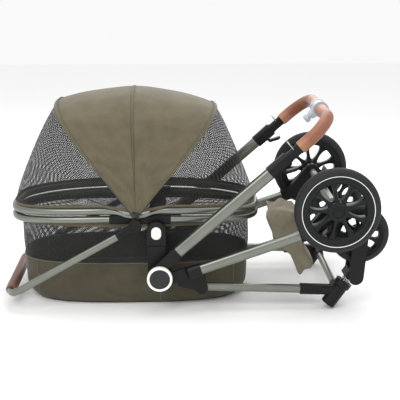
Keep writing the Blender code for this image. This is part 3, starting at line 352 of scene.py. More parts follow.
def two_colours(tree, share, low, high):
    """The colour output of a mix of two colours; a Mix node's colour sockets are found by number."""
    return add(tree, "ShaderNodeMix", {0: share, 6: low, 7: high}, data_type="RGBA").outputs[2]


def mottle(tree, shader, low, high, size_mm, detail=4.0):
    """Colour that drifts between two sRGB hex colours over patches of a size."""
    place = add(tree, "ShaderNodeTexCoord")
    drift = add(tree, "ShaderNodeTexNoise", {"Vector": place.outputs["Object"], "Scale": 1000 / size_mm,
                                            "Detail": detail})
    blended = two_colours(tree, drift.outputs["Fac"], linear(low), linear(high))
    tree.links.new(blended, shader.inputs["Base Color"])
    return place, blended


def bump(tree, shader, height, depth_mm, strength=1.0):
    made = add(tree, "ShaderNodeBump", {"Height": height, "Distance": depth_mm / 1000, "Strength": strength})
    tree.links.new(made.outputs["Normal"], shader.inputs["Normal"])


def anodised_aluminium():
    """Extruded tube, etched and anodised: a soft satin metal, slightly warm grey, with faint draw lines."""
    made, tree, shader = surface("anodised_aluminium", "#7c7f78", 0.34, 1.0)
    place, _ = mottle(tree, shader, "#74776f", "#888b83", 60)
    grit = add(tree, "ShaderNodeTexNoise", {"Vector": place.outputs["Object"], "Scale": 1200, "Detail": 2.0})
    bump(tree, shader, grit.outputs["Fac"], 0.05, 0.25)
    return made


def moulded_nylon(name="moulded_nylon", colour="#0f1010", light="#161716", roughness=0.45):
    """Glass-filled nylon from a spark-eroded mould: near black, with a fine grain that softens highlights."""
    made, tree, shader = surface(name, colour, roughness)
    shader.inputs["Specular IOR Level"].default_value = 0.22
    place, _ = mottle(tree, shader, colour, light, 25)
    grain = add(tree, "ShaderNodeTexVoronoi", {"Vector": place.outputs["Object"], "Scale": 1000 / 0.9})
    bump(tree, shader, grain.outputs["Distance"], 0.08, 0.35)
    return made


def glossy_abs(name, colour, roughness=0.28):
    """Injection moulded ABS off a polished mould: bright, with a clear highlight and a faint waviness."""
    made, tree, shader = surface(name, colour, roughness)
    place = add(tree, "ShaderNodeTexCoord")
    wave = add(tree, "ShaderNodeTexNoise", {"Vector": place.outputs["Object"], "Scale": 90.0})
    bump(tree, shader, wave.outputs["Fac"], 0.06, 0.3)
    return made


def woven_polyester(name, low, high, thread_mm=1.5):
    """Plain-woven heather polyester: two thread colours mixed, matt with a slight sheen at grazing angles.

    The real thread is 0.5 mm; it is drawn 1.5 mm so that the cloth still shows a weave.
    """
    made, tree, shader = surface(name, low, 0.85, sheen_weight=0.15, sheen_roughness=0.5)
    cloth = add(tree, "ShaderNodeUVMap", uv_map="weave")
    heather = add(tree, "ShaderNodeTexNoise", {"Vector": cloth.outputs["UV"], "Scale": 500.0, "Detail": 3.0})
    slub = add(tree, "ShaderNodeTexNoise", {"Vector": cloth.outputs["UV"], "Scale": 22.0, "Detail": 3.0})
    both = add(tree, "ShaderNodeMath", {0: heather.outputs["Fac"], 1: slub.outputs["Fac"]},
               operation="MULTIPLY")
    more = add(tree, "ShaderNodeMath", {0: both.outputs["Value"], 1: 2.6}, operation="MULTIPLY")
    tint = two_colours(tree, more.outputs["Value"], linear(low), linear(high))
    tree.links.new(tint, shader.inputs["Base Color"])
    spread = {"Vector": cloth.outputs["UV"], "Scale": WAVES_PER_MM / thread_mm}
    warp = add(tree, "ShaderNodeTexWave", spread, bands_direction="X")
    weft = add(tree, "ShaderNodeTexWave", spread, bands_direction="Y")
    weave = add(tree, "ShaderNodeMath", {0: warp.outputs["Fac"], 1: weft.outputs["Fac"]}, operation="MAXIMUM")
    bump(tree, shader, weave.outputs["Value"], 0.25, 0.5)
    return made


def knitted_net(name, pitch_mm, cover):
    """Warp-knitted polyester net: black threads round open holes, so what is behind shows through.

    The real holes are about 1.5 mm; they are drawn larger so that single threads still show.
    """
    made, tree, shader = surface(name, "#121312", 0.7)
    cloth = add(tree, "ShaderNodeUVMap", uv_map="weave")
    turn = add(tree, "ShaderNodeMapping", {"Vector": cloth.outputs["UV"],
                                          "Rotation": (0, 0, math.radians(45))})
    rows = []
    for direction in ("X", "Y"):
        spread = {"Vector": turn.outputs["Vector"], "Scale": WAVES_PER_MM / pitch_mm}
        wave = add(tree, "ShaderNodeTexWave", spread, bands_direction=direction)
        rows.append(wave.outputs["Fac"])
    holes = add(tree, "ShaderNodeMath", {0: rows[0], 1: rows[1]}, operation="MAXIMUM")
    thread = add(tree, "ShaderNodeMapRange", {"Value": holes.outputs["Value"], "From Min": cover - 0.12,
                                             "From Max": cover + 0.12})
    tree.links.new(thread.outputs["Result"], shader.inputs["Alpha"])
    bump(tree, shader, holes.outputs["Value"], 0.3, 0.4)
    return made


def grained_leather(name, low, high, worn):
    """Bonded leather wrap: warm brown, a pebbled grain about 1 mm across, polished where hands hold it."""
    made, tree, shader = surface(name, low, 0.48, coat_weight=0.12, coat_roughness=0.4)
    place, base = mottle(tree, shader, low, high, 14, 5.0)
    grain = add(tree, "ShaderNodeTexVoronoi", {"Vector": place.outputs["Object"], "Scale": 1000 / 2.2},
                feature="DISTANCE_TO_EDGE")
    edge = add(tree, "ShaderNodeNewGeometry")
    rub = add(tree, "ShaderNodeMapRange", {"Value": edge.outputs["Pointiness"], "From Min": 0.5,
                                          "From Max": 0.6})
    wear = two_colours(tree, rub.outputs["Result"], base, linear(worn))
    tree.links.new(wear, shader.inputs["Base Color"])
    bump(tree, shader, grain.outputs["Distance"], 0.3, 0.5)
    return made


def tyre_rubber():
    """Solid foamed rubber: charcoal, matt, a little dusty, with a fine open texture."""
    made, tree, shader = surface("tyre_rubber", "#151616", 0.78)
    place, _ = mottle(tree, shader, "#131414", "#1f201f", 18)
    pores = add(tree, "ShaderNodeTexNoise", {"Vector": place.outputs["Object"], "Scale": 900.0,
                                            "Detail": 3.0})
    bump(tree, shader, pores.outputs["Fac"], 0.15, 0.4)
    return made


def plated_steel():
    """Zinc and chrome plated steel: bright and cold, with small scuffs in the roughness."""
    made, tree, shader = surface("plated_steel", "#b4b8b8", 0.2, 1.0)
    place = add(tree, "ShaderNodeTexCoord")
    scuffs = add(tree, "ShaderNodeTexNoise", {"Vector": place.outputs["Object"], "Scale": 160.0,
                                             "Detail": 5.0})
    rough = add(tree, "ShaderNodeMapRange", {"Value": scuffs.outputs["Fac"], "To Min": 0.14, "To Max": 0.34})
    tree.links.new(rough.outputs["Result"], shader.inputs["Roughness"])
    return made


def brushed_knit():
    """Brushed warp-knit cushion cover: near black, very matt, with a soft uneven nap."""
    made, tree, shader = surface("brushed_knit", "#1d1e20", 0.92, sheen_weight=0.3, sheen_roughness=0.6)
    place, _ = mottle(tree, shader, "#18191a", "#2b2c2e", 9)
    nap = add(tree, "ShaderNodeTexNoise", {"Vector": place.outputs["Object"], "Scale": 700.0, "Detail": 2.0})
    bump(tree, shader, nap.outputs["Fac"], 0.4, 0.5)
    return made


ALUMINIUM = anodised_aluminium()
NYLON = moulded_nylon()
RIM_NYLON = moulded_nylon("rim_nylon", "#101213", "#181b1c", 0.40)
WHITE_ABS = glossy_abs("white_abs", "#f1f1ec")
CREAM_ABS = glossy_abs("cream_abs", "#e6e6de", 0.34)
GREY_ABS = glossy_abs("grey_satin_abs", "#aeb3bb", 0.42)
HOOD_CLOTH = woven_polyester("hood_polyester", "#474030", "#665e48")
PANEL_CLOTH = woven_polyester("panel_polyester", "#343022", "#4b4532")
BASKET_CLOTH = woven_polyester("basket_polyester", "#5c5545", "#827b68")
LINER_CLOTH = woven_polyester("liner_polyester", "#17181a", "#2c2d2e")
LINER_KNIT = brushed_knit()
BINDING = woven_polyester("ribbed_binding", "#1b1c1a", "#2f302c", 2.0)
PIPING = woven_polyester("piping_tape", "#45443b", "#605f54", 1.2)
NET = knitted_net("hood_net", 3.8, 0.62)
WALL_NET = knitted_net("wall_net", 3.8, 0.52)
TAN_LEATHER = grained_leather("tan_leather", "#693a28", "#8b5239", "#ad7858")
BROWN_LEATHER = grained_leather("brown_leather", "#4c322b", "#6c483e", "#8b6256")
RUBBER = tyre_rubber()
STEEL = plated_steel()
STRIPE = glossy_abs("stripe_paint", "#f4f4f0", 0.4)


# ---- metal frame -----------------------------------------------------------------------------------------


def rim_drop(x):
    return RIM_END_DROP * (x / CARRIER_HALF) ** 2


def rim_y(x):
    return RIM_HALF * (1 - abs(x / CARRIER_HALF) ** RIM_POWER) ** (1 / RIM_POWER)


def oval(half_length, half_width, start, end, steps):
    """(x, y) points of the carrier's plan outline, a superellipse, from one angle to another."""
    points = []
    for i in range(steps + 1):
        turn = math.radians(start + (end - start) * i / steps)
        c, s = math.cos(turn), math.sin(turn)
        points.append((half_length * math.copysign(abs(c) ** (2 / RIM_POWER), c),
                       half_width * math.copysign(abs(s) ** (2 / RIM_POWER), s)))
    return points


def rim_path(sign, bend_x, height, steps=64):
    """A U round one end of the carrier at a height."""
    turn = math.degrees(math.acos(abs(bend_x / CARRIER_HALF) ** (RIM_POWER / 2)))
    middle = 0 if sign > 0 else 180
    points = oval(CARRIER_HALF, RIM_HALF, middle - turn, middle + turn, steps)
    return [(x, y, height - rim_drop(x)) for x, y in points]


def layer(index):
    """Distance from the middle plane of a bow's side strap."""
    return BRACKET_OUT + 0.0020 + LAYER_PITCH * index


def lower_rims():
    section = rounded(RIM_RADIUS, RIM_RADIUS, 2.5)
    for name, sign, face in (("front", -1, BRACKET_FRONT), ("rear", 1, BRACKET_REAR)):
        tube = skin(f"lower_rim_{name}_tube", along(rim_path(sign, face - sign * 0.002, LOWER_RIM_Z), (0, 0, 1),
                                                    section), ALUMINIUM)
        put(tube, "carrier", "aluminium", "lower_rim_" + name)


def rim_bow(name, sign, index, body):
    """A tube above the lower rim; its ends flatten into straps at the hood pin."""
    start = HOOD[0] + sign * 0.092
    middle = rim_path(sign, start, UPPER_RIM_Z)
    strap = 0.0012
    ends = {}
    for side in (-1, 1):
        y_in, y_out = side * rim_y(start), side * layer(index)
        ends[side] = [
            ((HOOD[0] - sign * 0.006, y_out, HOOD[1]), (0.0050, strap)),
            ((HOOD[0] + sign * 0.010, y_out, HOOD[1] + 0.0008), (0.0050, strap)),
            ((HOOD[0] + sign * 0.032, y_out, HOOD[1] + 0.0050), (0.0045, strap)),
            ((HOOD[0] + sign * 0.050, (y_out + y_in) / 2, UPPER_RIM_Z - 0.0058), (0.0052, 0.0050)),
            ((HOOD[0] + sign * 0.070, y_in, UPPER_RIM_Z - 0.0030), (0.0080, 0.0088)),
        ]
    head, tail = (1, -1) if middle[0][1] > 0 else (-1, 1)
    full = rounded(RIM_RADIUS, RIM_RADIUS, 2.5)
    path = [point for point, _ in ends[head]] + middle + [point for point, _ in ends[tail][::-1]]
    sections = ([rounded(u, v, 3) for _, (u, v) in ends[head]] + [full] * len(middle)
                + [rounded(u, v, 3) for _, (u, v) in ends[tail][::-1]])
    tube = skin(name + "_tube", along(path, (0, 0, 1), sections), ALUMINIUM)
    put(tube, body, "aluminium", name)


def bar_path(centre, angle, start, reach, half, corner, steps=20):
    """A U bar: out along an angle from a side view point, round a corner, across, and back."""
    points = [(start, half), (start + (reach - corner - start) * 0.5, half)]
    points += [(reach - corner + corner * math.sin(math.pi / 2 * i / steps),
                half - corner + corner * math.cos(math.pi / 2 * i / steps)) for i in range(steps + 1)]
    points += [(r, -y) for r, y in points[::-1]]
    return [flat(polar(centre, angle, r), y) for r, y in points]


def side_bar(name, stations, side, centre, angle, finish, offset=0.0, **more):
    """A bar along a direction whose place and section change: (distance, y, half thick, half high, power)."""
    up, out = Vector(across_normal(angle)), Vector((0, 1, 0))
    loops = []
    for r, y, half_u, half_v, power in stations:
        point = Vector(flat(polar(centre, angle, r, offset), side * y))
        loops.append([point + out * u + up * v for u, v in rounded(half_u, half_v, power)])
    return skin(name, loops, finish, **more)


def carry_handle():
    normal = across_normal(CARRY_ANGLE)
    path = bar_path(CARRY, CARRY_ANGLE, 0.050, CARRY_REACH, CARRY_Y, CARRY_CORNER)
    bail = skin("carry_bail_tube", along(path, normal, rounded(0.011, 0.008, 2.6)), ALUMINIUM)
    put(bail, "carry_handle", "aluminium", "carry_bail")
    inner, outer = BRACKET_OUT + 0.0175, BRACKET_OUT + 0.0280
    for label, side in LEFT_RIGHT.items():
        centre = flat(CARRY, 0)
        profile = [(0.004, inner), (0.0185, inner), (0.020, inner + 0.0015), (0.020, outer - 0.0015),
                   (0.0185, outer), (0.0135, outer), (0.0128, outer - 0.0010), (0.0065, outer - 0.0010),
                   (0.0058, outer - 0.0002), (0.0008, outer + 0.0004)]
        disc = skin("carry_disc_" + label, turned(centre, (0, side, 0), profile, 64), NYLON)
        put(disc, "carry_handle", "black_plastic")
        stub = side_bar("carry_stub_" + label,
                        [(0.012, inner + 0.0065, 0.0040, 0.0125, 4), (0.028, inner + 0.0080, 0.0045, 0.0135, 4),
                         (0.044, CARRY_Y + 0.0010, 0.0088, 0.0130, 3), (0.062, CARRY_Y, 0.0095, 0.0126, 3)],
                        side, CARRY, CARRY_ANGLE, NYLON)
        put(bevelled(stub, 0.0008), "carry_handle", "black_plastic")
    half = CARRY_Y - CARRY_CORNER - 0.006
    grip_wrap("carry_wrap", CARRY, CARRY_ANGLE, CARRY_REACH, half, BROWN_LEATHER, "carry_handle",
              "carry_grip")


def grip_wrap(name, centre, angle, reach, half, finish, body, node):
    """Leather round a cross bar, rolled in at both ends, with a stitched seam underneath."""
    radius = 0.0172
    rows = [(-half, 0.0125), (-half + 0.0006, 0.0150), (-half + 0.003, 0.0166)]
    rows += [(-half + 0.003 + (2 * half - 0.006) * i / 24, radius) for i in range(1, 24)]
    rows += [(-y, r) for y, r in rows[2::-1]]
    normal = across_normal(angle)
    path = [flat(polar(centre, angle, reach), y) for y, _ in rows]
    wrap = skin(name, along(path, normal, [rounded(r, r) for _, r in rows]), finish)
    put(wrap, body, "tan_leather", node)
    stitches(name + "_seam", [flat(polar(centre, angle, reach + 0.0170), y) for y in
                              [(-half + 0.006) + (2 * half - 0.012) * i / 40 for i in range(41)]], body, finish)


def stitches(name, path, body, finish, length=0.0032, gap=0.0022, radius=0.00045, slot="tan_leather"):
    """A row of thread stitches along a path."""
    path = [Vector(p) for p in path]
    runs = [0.0]
    for a, b in zip(path, path[1:]):
        runs.append(runs[-1] + (b - a).length)

    def at(distance):
        for i in range(len(path) - 1):
            if runs[i + 1] >= distance:
                share = (distance - runs[i]) / max(runs[i + 1] - runs[i], 1e-9)
                return path[i].lerp(path[i + 1], share)
        return path[-1]

    bm = bmesh.new()
    place = 0.0
    while place + length < runs[-1]:
        start, end = at(place), at(place + length)
        run = (end - start).normalized()
        out = run.orthogonal().normalized()
        up = run.cross(out)
        rings = []
        for share, size in ((0.0, 0.3), (0.2, 1.0), (0.8, 1.0), (1.0, 0.3)):
            middle = start.lerp(end, share)
            rings.append([bm.verts.new(middle + (out * math.cos(a) + up * math.sin(a)) * radius * size)
                          for a in [math.pi * k / 3 for k in range(6)]])
        for first, second in zip(rings, rings[1:]):
            for i in range(6):
                bm.faces.new((first[i], first[(i + 1) % 6], second[(i + 1) % 6], second[i]))
        bm.faces.new(rings[0][::-1])
        bm.faces.new(rings[-1])
        place += length + gap
    piece = new_piece(name, bm, finish, 60)
    return put(piece, body, slot)


def push_handle():
    """Handle tubes from the hubs, their clamps, and the sliding U bar with its leather."""
    for label, side in LEFT_RIGHT.items():
        eye_in, eye_out = BRACKET_OUT + 0.0410, BRACKET_OUT + 0.0542
        eye_y, eye_half = (eye_in + eye_out) / 2, (eye_out - eye_in) / 2
        sleeve = side_bar("handle_sleeve_" + label,
                          [(0.004, eye_y, eye_half, 0.0165, 6), (0.066, eye_y, eye_half, 0.0190, 6),
                           (0.076, HANDLE_Y, 0.0147, 0.0203, 4), (0.094, HANDLE_Y, 0.0150, 0.0205, 4)],
                          side, HANDLE_ROOT, HANDLE_ANGLE, NYLON)
        put(bevelled(sleeve, 0.0010), "handle", "black_plastic")
        eye = skin("handle_eye_" + label, turned(flat(HUB, 0), (0, side, 0), [
            (0.0125, eye_in), (0.0265, eye_in), (0.0275, eye_in + 0.001), (0.0275, eye_out - 0.001),
            (0.0265, eye_out), (0.0125, eye_out)]), NYLON, closed=True)
        put(eye, "handle", "black_plastic")
        end = HOUSING[1] - 0.025
        stations = [(r, HANDLE_Y, *HANDLE_TUBE, 2.8) for r in (0.088, 0.25, end)]
        tube = side_bar("handle_tube_" + label, stations,
                        side, HANDLE_ROOT, HANDLE_ANGLE, ALUMINIUM)
        put(tube, "handle", "aluminium", "handle_arm_" + label)
        collar = side_bar("slide_collar_" + label,
                          [(HOUSING[1] - 0.004, HANDLE_Y, 0.0125, 0.0160, 3),
                           (HOUSING[1] + 0.004, HANDLE_Y, 0.0130, 0.0166, 3),
                           (HOUSING[1] + 0.008, HANDLE_Y, 0.0118, 0.0150, 3),
                           (HOUSING[1] + 0.040, HANDLE_Y, 0.0118, 0.0150, 3),
                           (HOUSING[1] + 0.043, HANDLE_Y, 0.0130, 0.0164, 3),
                           (HOUSING[1] + 0.048, HANDLE_Y, 0.0130, 0.0164, 3)],
                          side, HANDLE_ROOT, HANDLE_ANGLE, NYLON)
        put(bevelled(collar, 0.0006), "push_bar", "black_plastic")
        ring_at(label, side)
    normal = across_normal(HANDLE_ANGLE)
    path = bar_path(HANDLE_ROOT, HANDLE_ANGLE, 0.340, HANDLE_REACH, HANDLE_Y, HANDLE_CORNER)
    bar = skin("push_bar_tube", along(path, normal, rounded(INNER_TUBE[1], INNER_TUBE[0], 2.8)), ALUMINIUM)
    put(bar, "push_bar", "aluminium", "handlebar")
    corner = path[2:23]
    start = flat(polar(HANDLE_ROOT, HANDLE_ANGLE, HOUSING[1] + 0.047), HANDLE_Y)
    straight = flat(polar(HANDLE_ROOT, HANDLE_ANGLE, HOUSING[1] + 0.0475), HANDLE_Y)
    centre_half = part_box("handlebar_centre")[1].y
    end = flat(polar(HANDLE_ROOT, HANDLE_ANGLE, HANDLE_REACH), centre_half + 0.006)
    nearly = flat(polar(HANDLE_ROOT, HANDLE_ANGLE, HANDLE_REACH), centre_half + 0.0068)
    for label, side in LEFT_RIGHT.items():
        lane = [(x, side * y, z) for x, y, z in [start, straight] + corner + [nearly, end]]
        full = rounded(0.0196, 0.0186, 2.2)
        tight = rounded(0.0160, 0.0142, 2.2)
        sections = [tight] + [full] * (len(lane) - 2) + [tight]
        wrap = skin("grip_wrap_" + label, along(lane, normal, sections), TAN_LEATHER)
        put(wrap, "push_bar", "tan_leather", "handlebar_grip_" + label)
        seam = []
        for i in range(2, len(lane) - 2):
            tangent = (Vector(lane[i + 1]) - Vector(lane[i - 1])).normalized()
            inwards = Vector(normal).cross(tangent).normalized() * (-side)
            seam.append(Vector(lane[i]) + inwards * 0.0186)
        stitches("grip_seam_" + label, seam, "push_bar", BROWN_LEATHER)


def ring_at(label, side):
    """A wire D ring on the upper face of each slide collar."""
    place = HOUSING[1] + 0.028
    root = 0.0150
    outline = [(-0.013, root - 0.002), (-0.013, root + 0.013), (-0.007, root + 0.022), (0.007, root + 0.022),
               (0.013, root + 0.013), (0.013, root - 0.002)]
    path = [flat(polar(HANDLE_ROOT, HANDLE_ANGLE, place + 0.002, v), side * (HANDLE_Y + u))
            for u, v in outline]
    path = smooth_path(path, 6)
    run = across_normal(HANDLE_ANGLE + 90)
    wire = skin("d_ring_" + label, along(path, run, rounded(0.0018, 0.0018, 2, 12)), STEEL)
    put(wire, "push_bar", "steel")


def bolt(name, point, side, y, radius, body):
    """A button-head bolt with a socket, its axis across the stroller."""
    profile = [(radius, y - 0.002), (radius, y + 0.0004), (radius * 0.86, y + 0.0014),
               (radius * 0.5, y + 0.0020), (radius * 0.42, y + 0.0019), (radius * 0.38, y + 0.0004),
               (0.0003, y + 0.0003)]
    return put(skin(name, turned(flat(point, 0), (0, side, 0), profile, 24), STEEL), body, "steel")


def hub_covers():
    """A white ring round a dark woven inlay on the outside of each hub, and the front frame's pivot bolt."""
    low, high = across("hub_cover_right")
    radius = (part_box("hub_cover_right")[1].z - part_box("hub_cover_right")[0].z) / 2
    inside = radius * 0.81
    for label, side in LEFT_RIGHT.items():
        ring = skin("hub_ring_" + label, turned(flat(HUB, 0), (0, side, 0), [
            (inside, low), (radius - 0.0008, low), (radius, low + 0.0008), (radius, high - 0.0018),
            (radius - 0.0018, high), (inside + 0.0015, high), (inside, high - 0.0012)], 96), WHITE_ABS, closed=True)
        put(ring, "chassis", "white_plastic", "hub_cover_" + label)
        inlay = skin("hub_inlay_" + label, turned(flat(HUB, 0), (0, side, 0), [
            (inside - 0.0002, low + 0.0005), (inside - 0.0002, high - 0.0026), (inside - 0.0015, high - 0.0016),
            (inside * 0.5, high - 0.0013), (0.0005, high - 0.0012)], 96), LINER_CLOTH)
        put(inlay, "chassis", "black_plastic")
        bolt("fold_bolt_" + label, FOLD, side, FRONT_LEG_Y + 0.0125, 0.0062, "front_frame")


def coil_springs():
    """Fine coils between each caster and its fork."""
    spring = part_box("front_spring_right")
    radius = (spring[1].y - spring[0].y) / 2 - 0.0013
    first, last, turns = 0.0685, 0.1020, 6
    run = (math.cos(math.radians(CASTER_ANGLE)), 0, math.sin(math.radians(CASTER_ANGLE)))
    for label, side in LEFT_RIGHT.items():
        path = []
        for i in range(turns * 24 + 1):
            turn = 2 * math.pi * i / 24
            rise = first + 0.0014 + (last - first - 0.0028) * i / (turns * 24)
            x, z = polar(CASTER_FOOT, CASTER_ANGLE, rise, radius * math.cos(turn))
            path.append((x, side * FRONT_LEG_Y + radius * math.sin(turn), z))
        coil = skin("coil_" + label, along(path, run, rounded(0.0011, 0.0011, 2, 10)), STEEL, sharp=80)
        hang(coil, "caster_" + label, "fork_body_" + label, flat(polar(CASTER_FOOT, CASTER_ANGLE, first),
             side * FRONT_LEG_Y), flat(polar(CASTER_FOOT, CASTER_ANGLE, last), side * FRONT_LEG_Y), "steel",
             "front_spring_" + label)


def rear_legs():
    for label, side in LEFT_RIGHT.items():
        start, end = 0.1022, 0.4620
        leg = side_bar("rear_leg_tube_" + label,
                       [(r, REAR_LEG_Y, 0.0130, 0.0160, 2.8) for r in (start, 0.28, end)],
                       side, HUB, REAR_ANGLE, ALUMINIUM, -REAR_DROP)
        put(leg, "rear_frame", "aluminium", "rear_leg_" + label)
    half = across("rear_axle_tube")[1]
    tube = skin("axle_tube", turned(flat(REAR_AXLE, 0), (0, 1, 0), [(0.0100, -half), (0.0125, -half), (0.0125, half),
                                                                    (0.0100, half)]), ALUMINIUM, closed=True)
    put(tube, "rear_frame", "aluminium", "rear_axle_tube")


def front_legs():
    leg_start, leg_end = 0.012, 0.320
    for label, side in LEFT_RIGHT.items():
        leg = side_bar("front_leg_tube_" + label,
                       [(r, FRONT_LEG_Y, 0.0115, 0.0125, 2.8) for r in (leg_start, 0.16, leg_end)],
                       side, FOLD, FRONT_ANGLE, ALUMINIUM)
        put(leg, "front_frame", "aluminium", "front_leg_" + label)
        outer = FRONT_LEG_Y + 0.0113
        eye = skin("front_eye_" + label, turned(flat(FOLD, 0), (0, side, 0), [
            (0.0043, FRONT_LEG_Y - 0.011), (0.0125, FRONT_LEG_Y - 0.011), (0.0135, FRONT_LEG_Y - 0.010),
            (0.0135, outer - 0.001), (0.0125, outer), (0.0043, outer)]), NYLON, closed=True)
        put(eye, "front_frame", "black_plastic")
    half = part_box("front_cross_tube")[1].y
    place = polar(CASTER_FOOT, CASTER_ANGLE, 0.050)
    tube = skin("cross_tube", turned(flat(place, 0), (0, 1, 0), [(0.0090, -half), (0.0110, -half), (0.0110, half),
                                                                 (0.0090, half)]), ALUMINIUM, closed=True)
    put(tube, "front_frame", "aluminium", "front_cross_tube")
    for label, side in LEFT_RIGHT.items():
        collar = skin("cross_collar_" + label, turned(flat(place, 0), (0, side, 0), [
            (0.0112, half - 0.040), (0.0142, half - 0.039), (0.0150, half - 0.030), (0.0150, half - 0.001),
            (0.0112, half - 0.0005)]), NYLON, closed=True)
        put(collar, "front_frame", "black_plastic")


# ---- wheels ----------------------------------------------------------------------------------------------


def tyre(name, centre, low, high, radius, inner, body, *nodes):
    """A round-shouldered tyre with a shallow groove on each shoulder."""
    half = (high - low) / 2
    middle = (low + high) / 2
    profile = [(inner, middle - half + 0.004), (inner + 0.004, middle - half + 0.0015)]
    for i in range(25):
        turn = math.radians(-90 + 180 * i / 24)
        bulge = radius - 0.020 + 0.020 * abs(math.cos(turn)) ** 0.75
        if i in (6, 18):
            bulge -= 0.0012
        profile.append((bulge, middle + half * math.copysign(abs(math.sin(turn)) ** 0.8, math.sin(turn))))
    profile += [(inner + 0.004, middle + half - 0.0015), (inner, middle + half - 0.004)]
    piece = skin(name, turned(centre, (0, 1, 0), profile, 96), RUBBER, closed=True, sharp=50)
    return put(piece, body, "tyre_rubber", *nodes)


def spoked_rim(name, axle, side, low, high, band, hub, radius, body, finish, *nodes):
    """Rim band, nine flared spokes with open windows between them, and a hub."""
    bm = bmesh.new()
    dish = 0.006
    web_low, web_high = low + 0.0085, high - 0.0085

    steps = 96
    rows = [(radius, low + 0.004), (band + 0.003, low + 0.0045), (band, low + 0.008), (band, high - 0.008),
            (band + 0.003, high - 0.0045), (radius, high - 0.004)]
    band_rings = turned(flat(axle, 0), (0, side, 0), rows, steps)
    make_rings(bm, band_rings)
    hub_rows = [(0.0065, low + 0.001), (hub - 0.002, low + 0.001), (hub, low + 0.003), (hub, high - 0.003),
                (hub - 0.002, high - 0.001), (hub * 0.62, high - 0.001), (hub * 0.58, high - 0.004),
                (0.0065, high - 0.004)]
    make_rings(bm, turned(flat(axle, 0), (0, side, 0), hub_rows, 64))
    for k in range(SPOKES):
        angle = FIRST_SPOKE + 360 * k / SPOKES
        spoke_loops = []
        count = 9
        for i in range(count):
            share = i / (count - 1)
            distance = (hub - 0.003) * (1 - share) + (band + 0.001) * share
            waist = 0.0052 + 0.0075 * abs(2 * share - 0.9) ** 2.6
            lift = dish * math.sin(math.pi * share)
            lowest, highest = web_low + lift * 0.4, web_high + 0.003 - lift * 0.6
            loop = []
            for across_share, height_share in ((-1, 0), (-1, 0.72), (-0.72, 1), (0.72, 1), (1, 0.72), (1, 0)):
                x, z = polar(axle, angle, distance, waist * across_share)
                loop.append((x, side * (lowest + (highest - lowest) * height_share), z))
            spoke_loops.append(loop)
        make_rings(bm, spoke_loops, closed=False)
    piece = new_piece(name, bm, finish, 34)
    bevelled(piece, 0.0008, 2, 40)
    return put(piece, body, "black_plastic", *nodes)


def make_rings(bm, loops, closed=True):
    """Skins a row of loops into a mesh that holds other shapes too."""
    rings = [[bm.verts.new(Vector(point)) for point in loop] for loop in loops]
    pairs = list(zip(rings, rings[1:]))
    if closed:
        pairs.append((rings[-1], rings[0]))
    for first, second in pairs:
        for i in range(len(first)):
            j = (i + 1) % len(first)
            bm.faces.new((first[i], first[j], second[j], second[i]))
    if not closed:
        bm.faces.new(rings[0][::-1])
        bm.faces.new(rings[-1])


def pinstripe(name, axle, side, y, radius, width, body):
    """A thin raised white line on the side of a wheel."""
    inner, outer = radius - width / 2, radius + width / 2
    rows = [(inner, y - 0.0006), (inner, y + 0.0002), (outer, y + 0.0002), (outer, y - 0.0006)]
    piece = skin(name, turned(flat(axle, 0), (0, side, 0), rows, 96), STRIPE, closed=True)
    return put(piece, body, "white_plastic")


def hub_cap(name, axle, side, y, radius, body):
    """A shallow stepped cap in the middle of a wheel."""
    rows = [(radius, y - 0.003), (radius, y), (radius * 0.9, y + 0.0008), (radius * 0.80, y + 0.0008),
            (radius * 0.76, y - 0.0006), (radius * 0.30, y - 0.0002), (radius * 0.28, y + 0.0010),
            (0.0006, y + 0.0012)]
    piece = skin(name, turned(flat(axle, 0), (0, side, 0), rows, 48), NYLON)
    return put(piece, body, "black_plastic")


def rear_wheels():
    low, high = across("rear_tyre_right")
    radius = (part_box("rear_tyre_right")[1].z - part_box("rear_tyre_right")[0].z) / 2
    inner = radius - 0.024
    for label, side in LEFT_RIGHT.items():
        body = "rear_wheel_" + label
        bounds = (low, high) if side > 0 else (-high, -low)
        tyre("rear_tyre_ring_" + label, flat(REAR_AXLE, 0), *bounds, radius, inner, body,
             "rear_tyre_" + label)
        spoked_rim("rear_spokes_" + label, REAR_AXLE, side, low, high, radius * 0.655, 0.030, inner + 0.002,
                   body, RIM_NYLON, "rear_rim_" + label)
        band_face("rear_band_" + label, REAR_AXLE, side, high - 0.0048, radius * 0.655, inner + 0.001, body)
        pinstripe("rear_stripe_" + label, REAR_AXLE, side, high - 0.0010, inner + 0.0035, 0.0032, body)
        hub_cap("rear_cap_" + label, REAR_AXLE, side, high - 0.0030, 0.0245, body)
        axle_ring = skin("axle_washer_" + label, turned(flat(REAR_AXLE, 0), (0, side, 0), [
            (0.0070, low - 0.0018), (0.0145, low - 0.0018), (0.0150, low - 0.0010), (0.0145, low - 0.0003),
            (0.0070, low - 0.0003)], 48), STEEL, closed=True)
        put(axle_ring, "rear_frame", "steel")


def band_face(name, axle, side, y, inner, outer, body):
    """Shallow ribs on the rim band, one at each spoke and one between."""
    bm = bmesh.new()
    for k in range(SPOKES * 2):
        angle = FIRST_SPOKE + 180 * k / SPOKES
        loops = []
        for share in (0.0, 0.5, 1.0):
            distance = inner + 0.002 + (outer - inner - 0.004) * share
            loop = [(-0.0011, y - 0.001), (-0.0011, y + 0.0005), (0.0011, y + 0.0005), (0.0011, y - 0.001)]
            loops.append([(*polar(axle, angle, distance, u), v) for u, v in loop])
        make_rings(bm, [[(x, side * v, z) for x, z, v in loop] for loop in loops], closed=False)
    return put(new_piece(name, bm, RIM_NYLON, 40), body, "black_plastic")


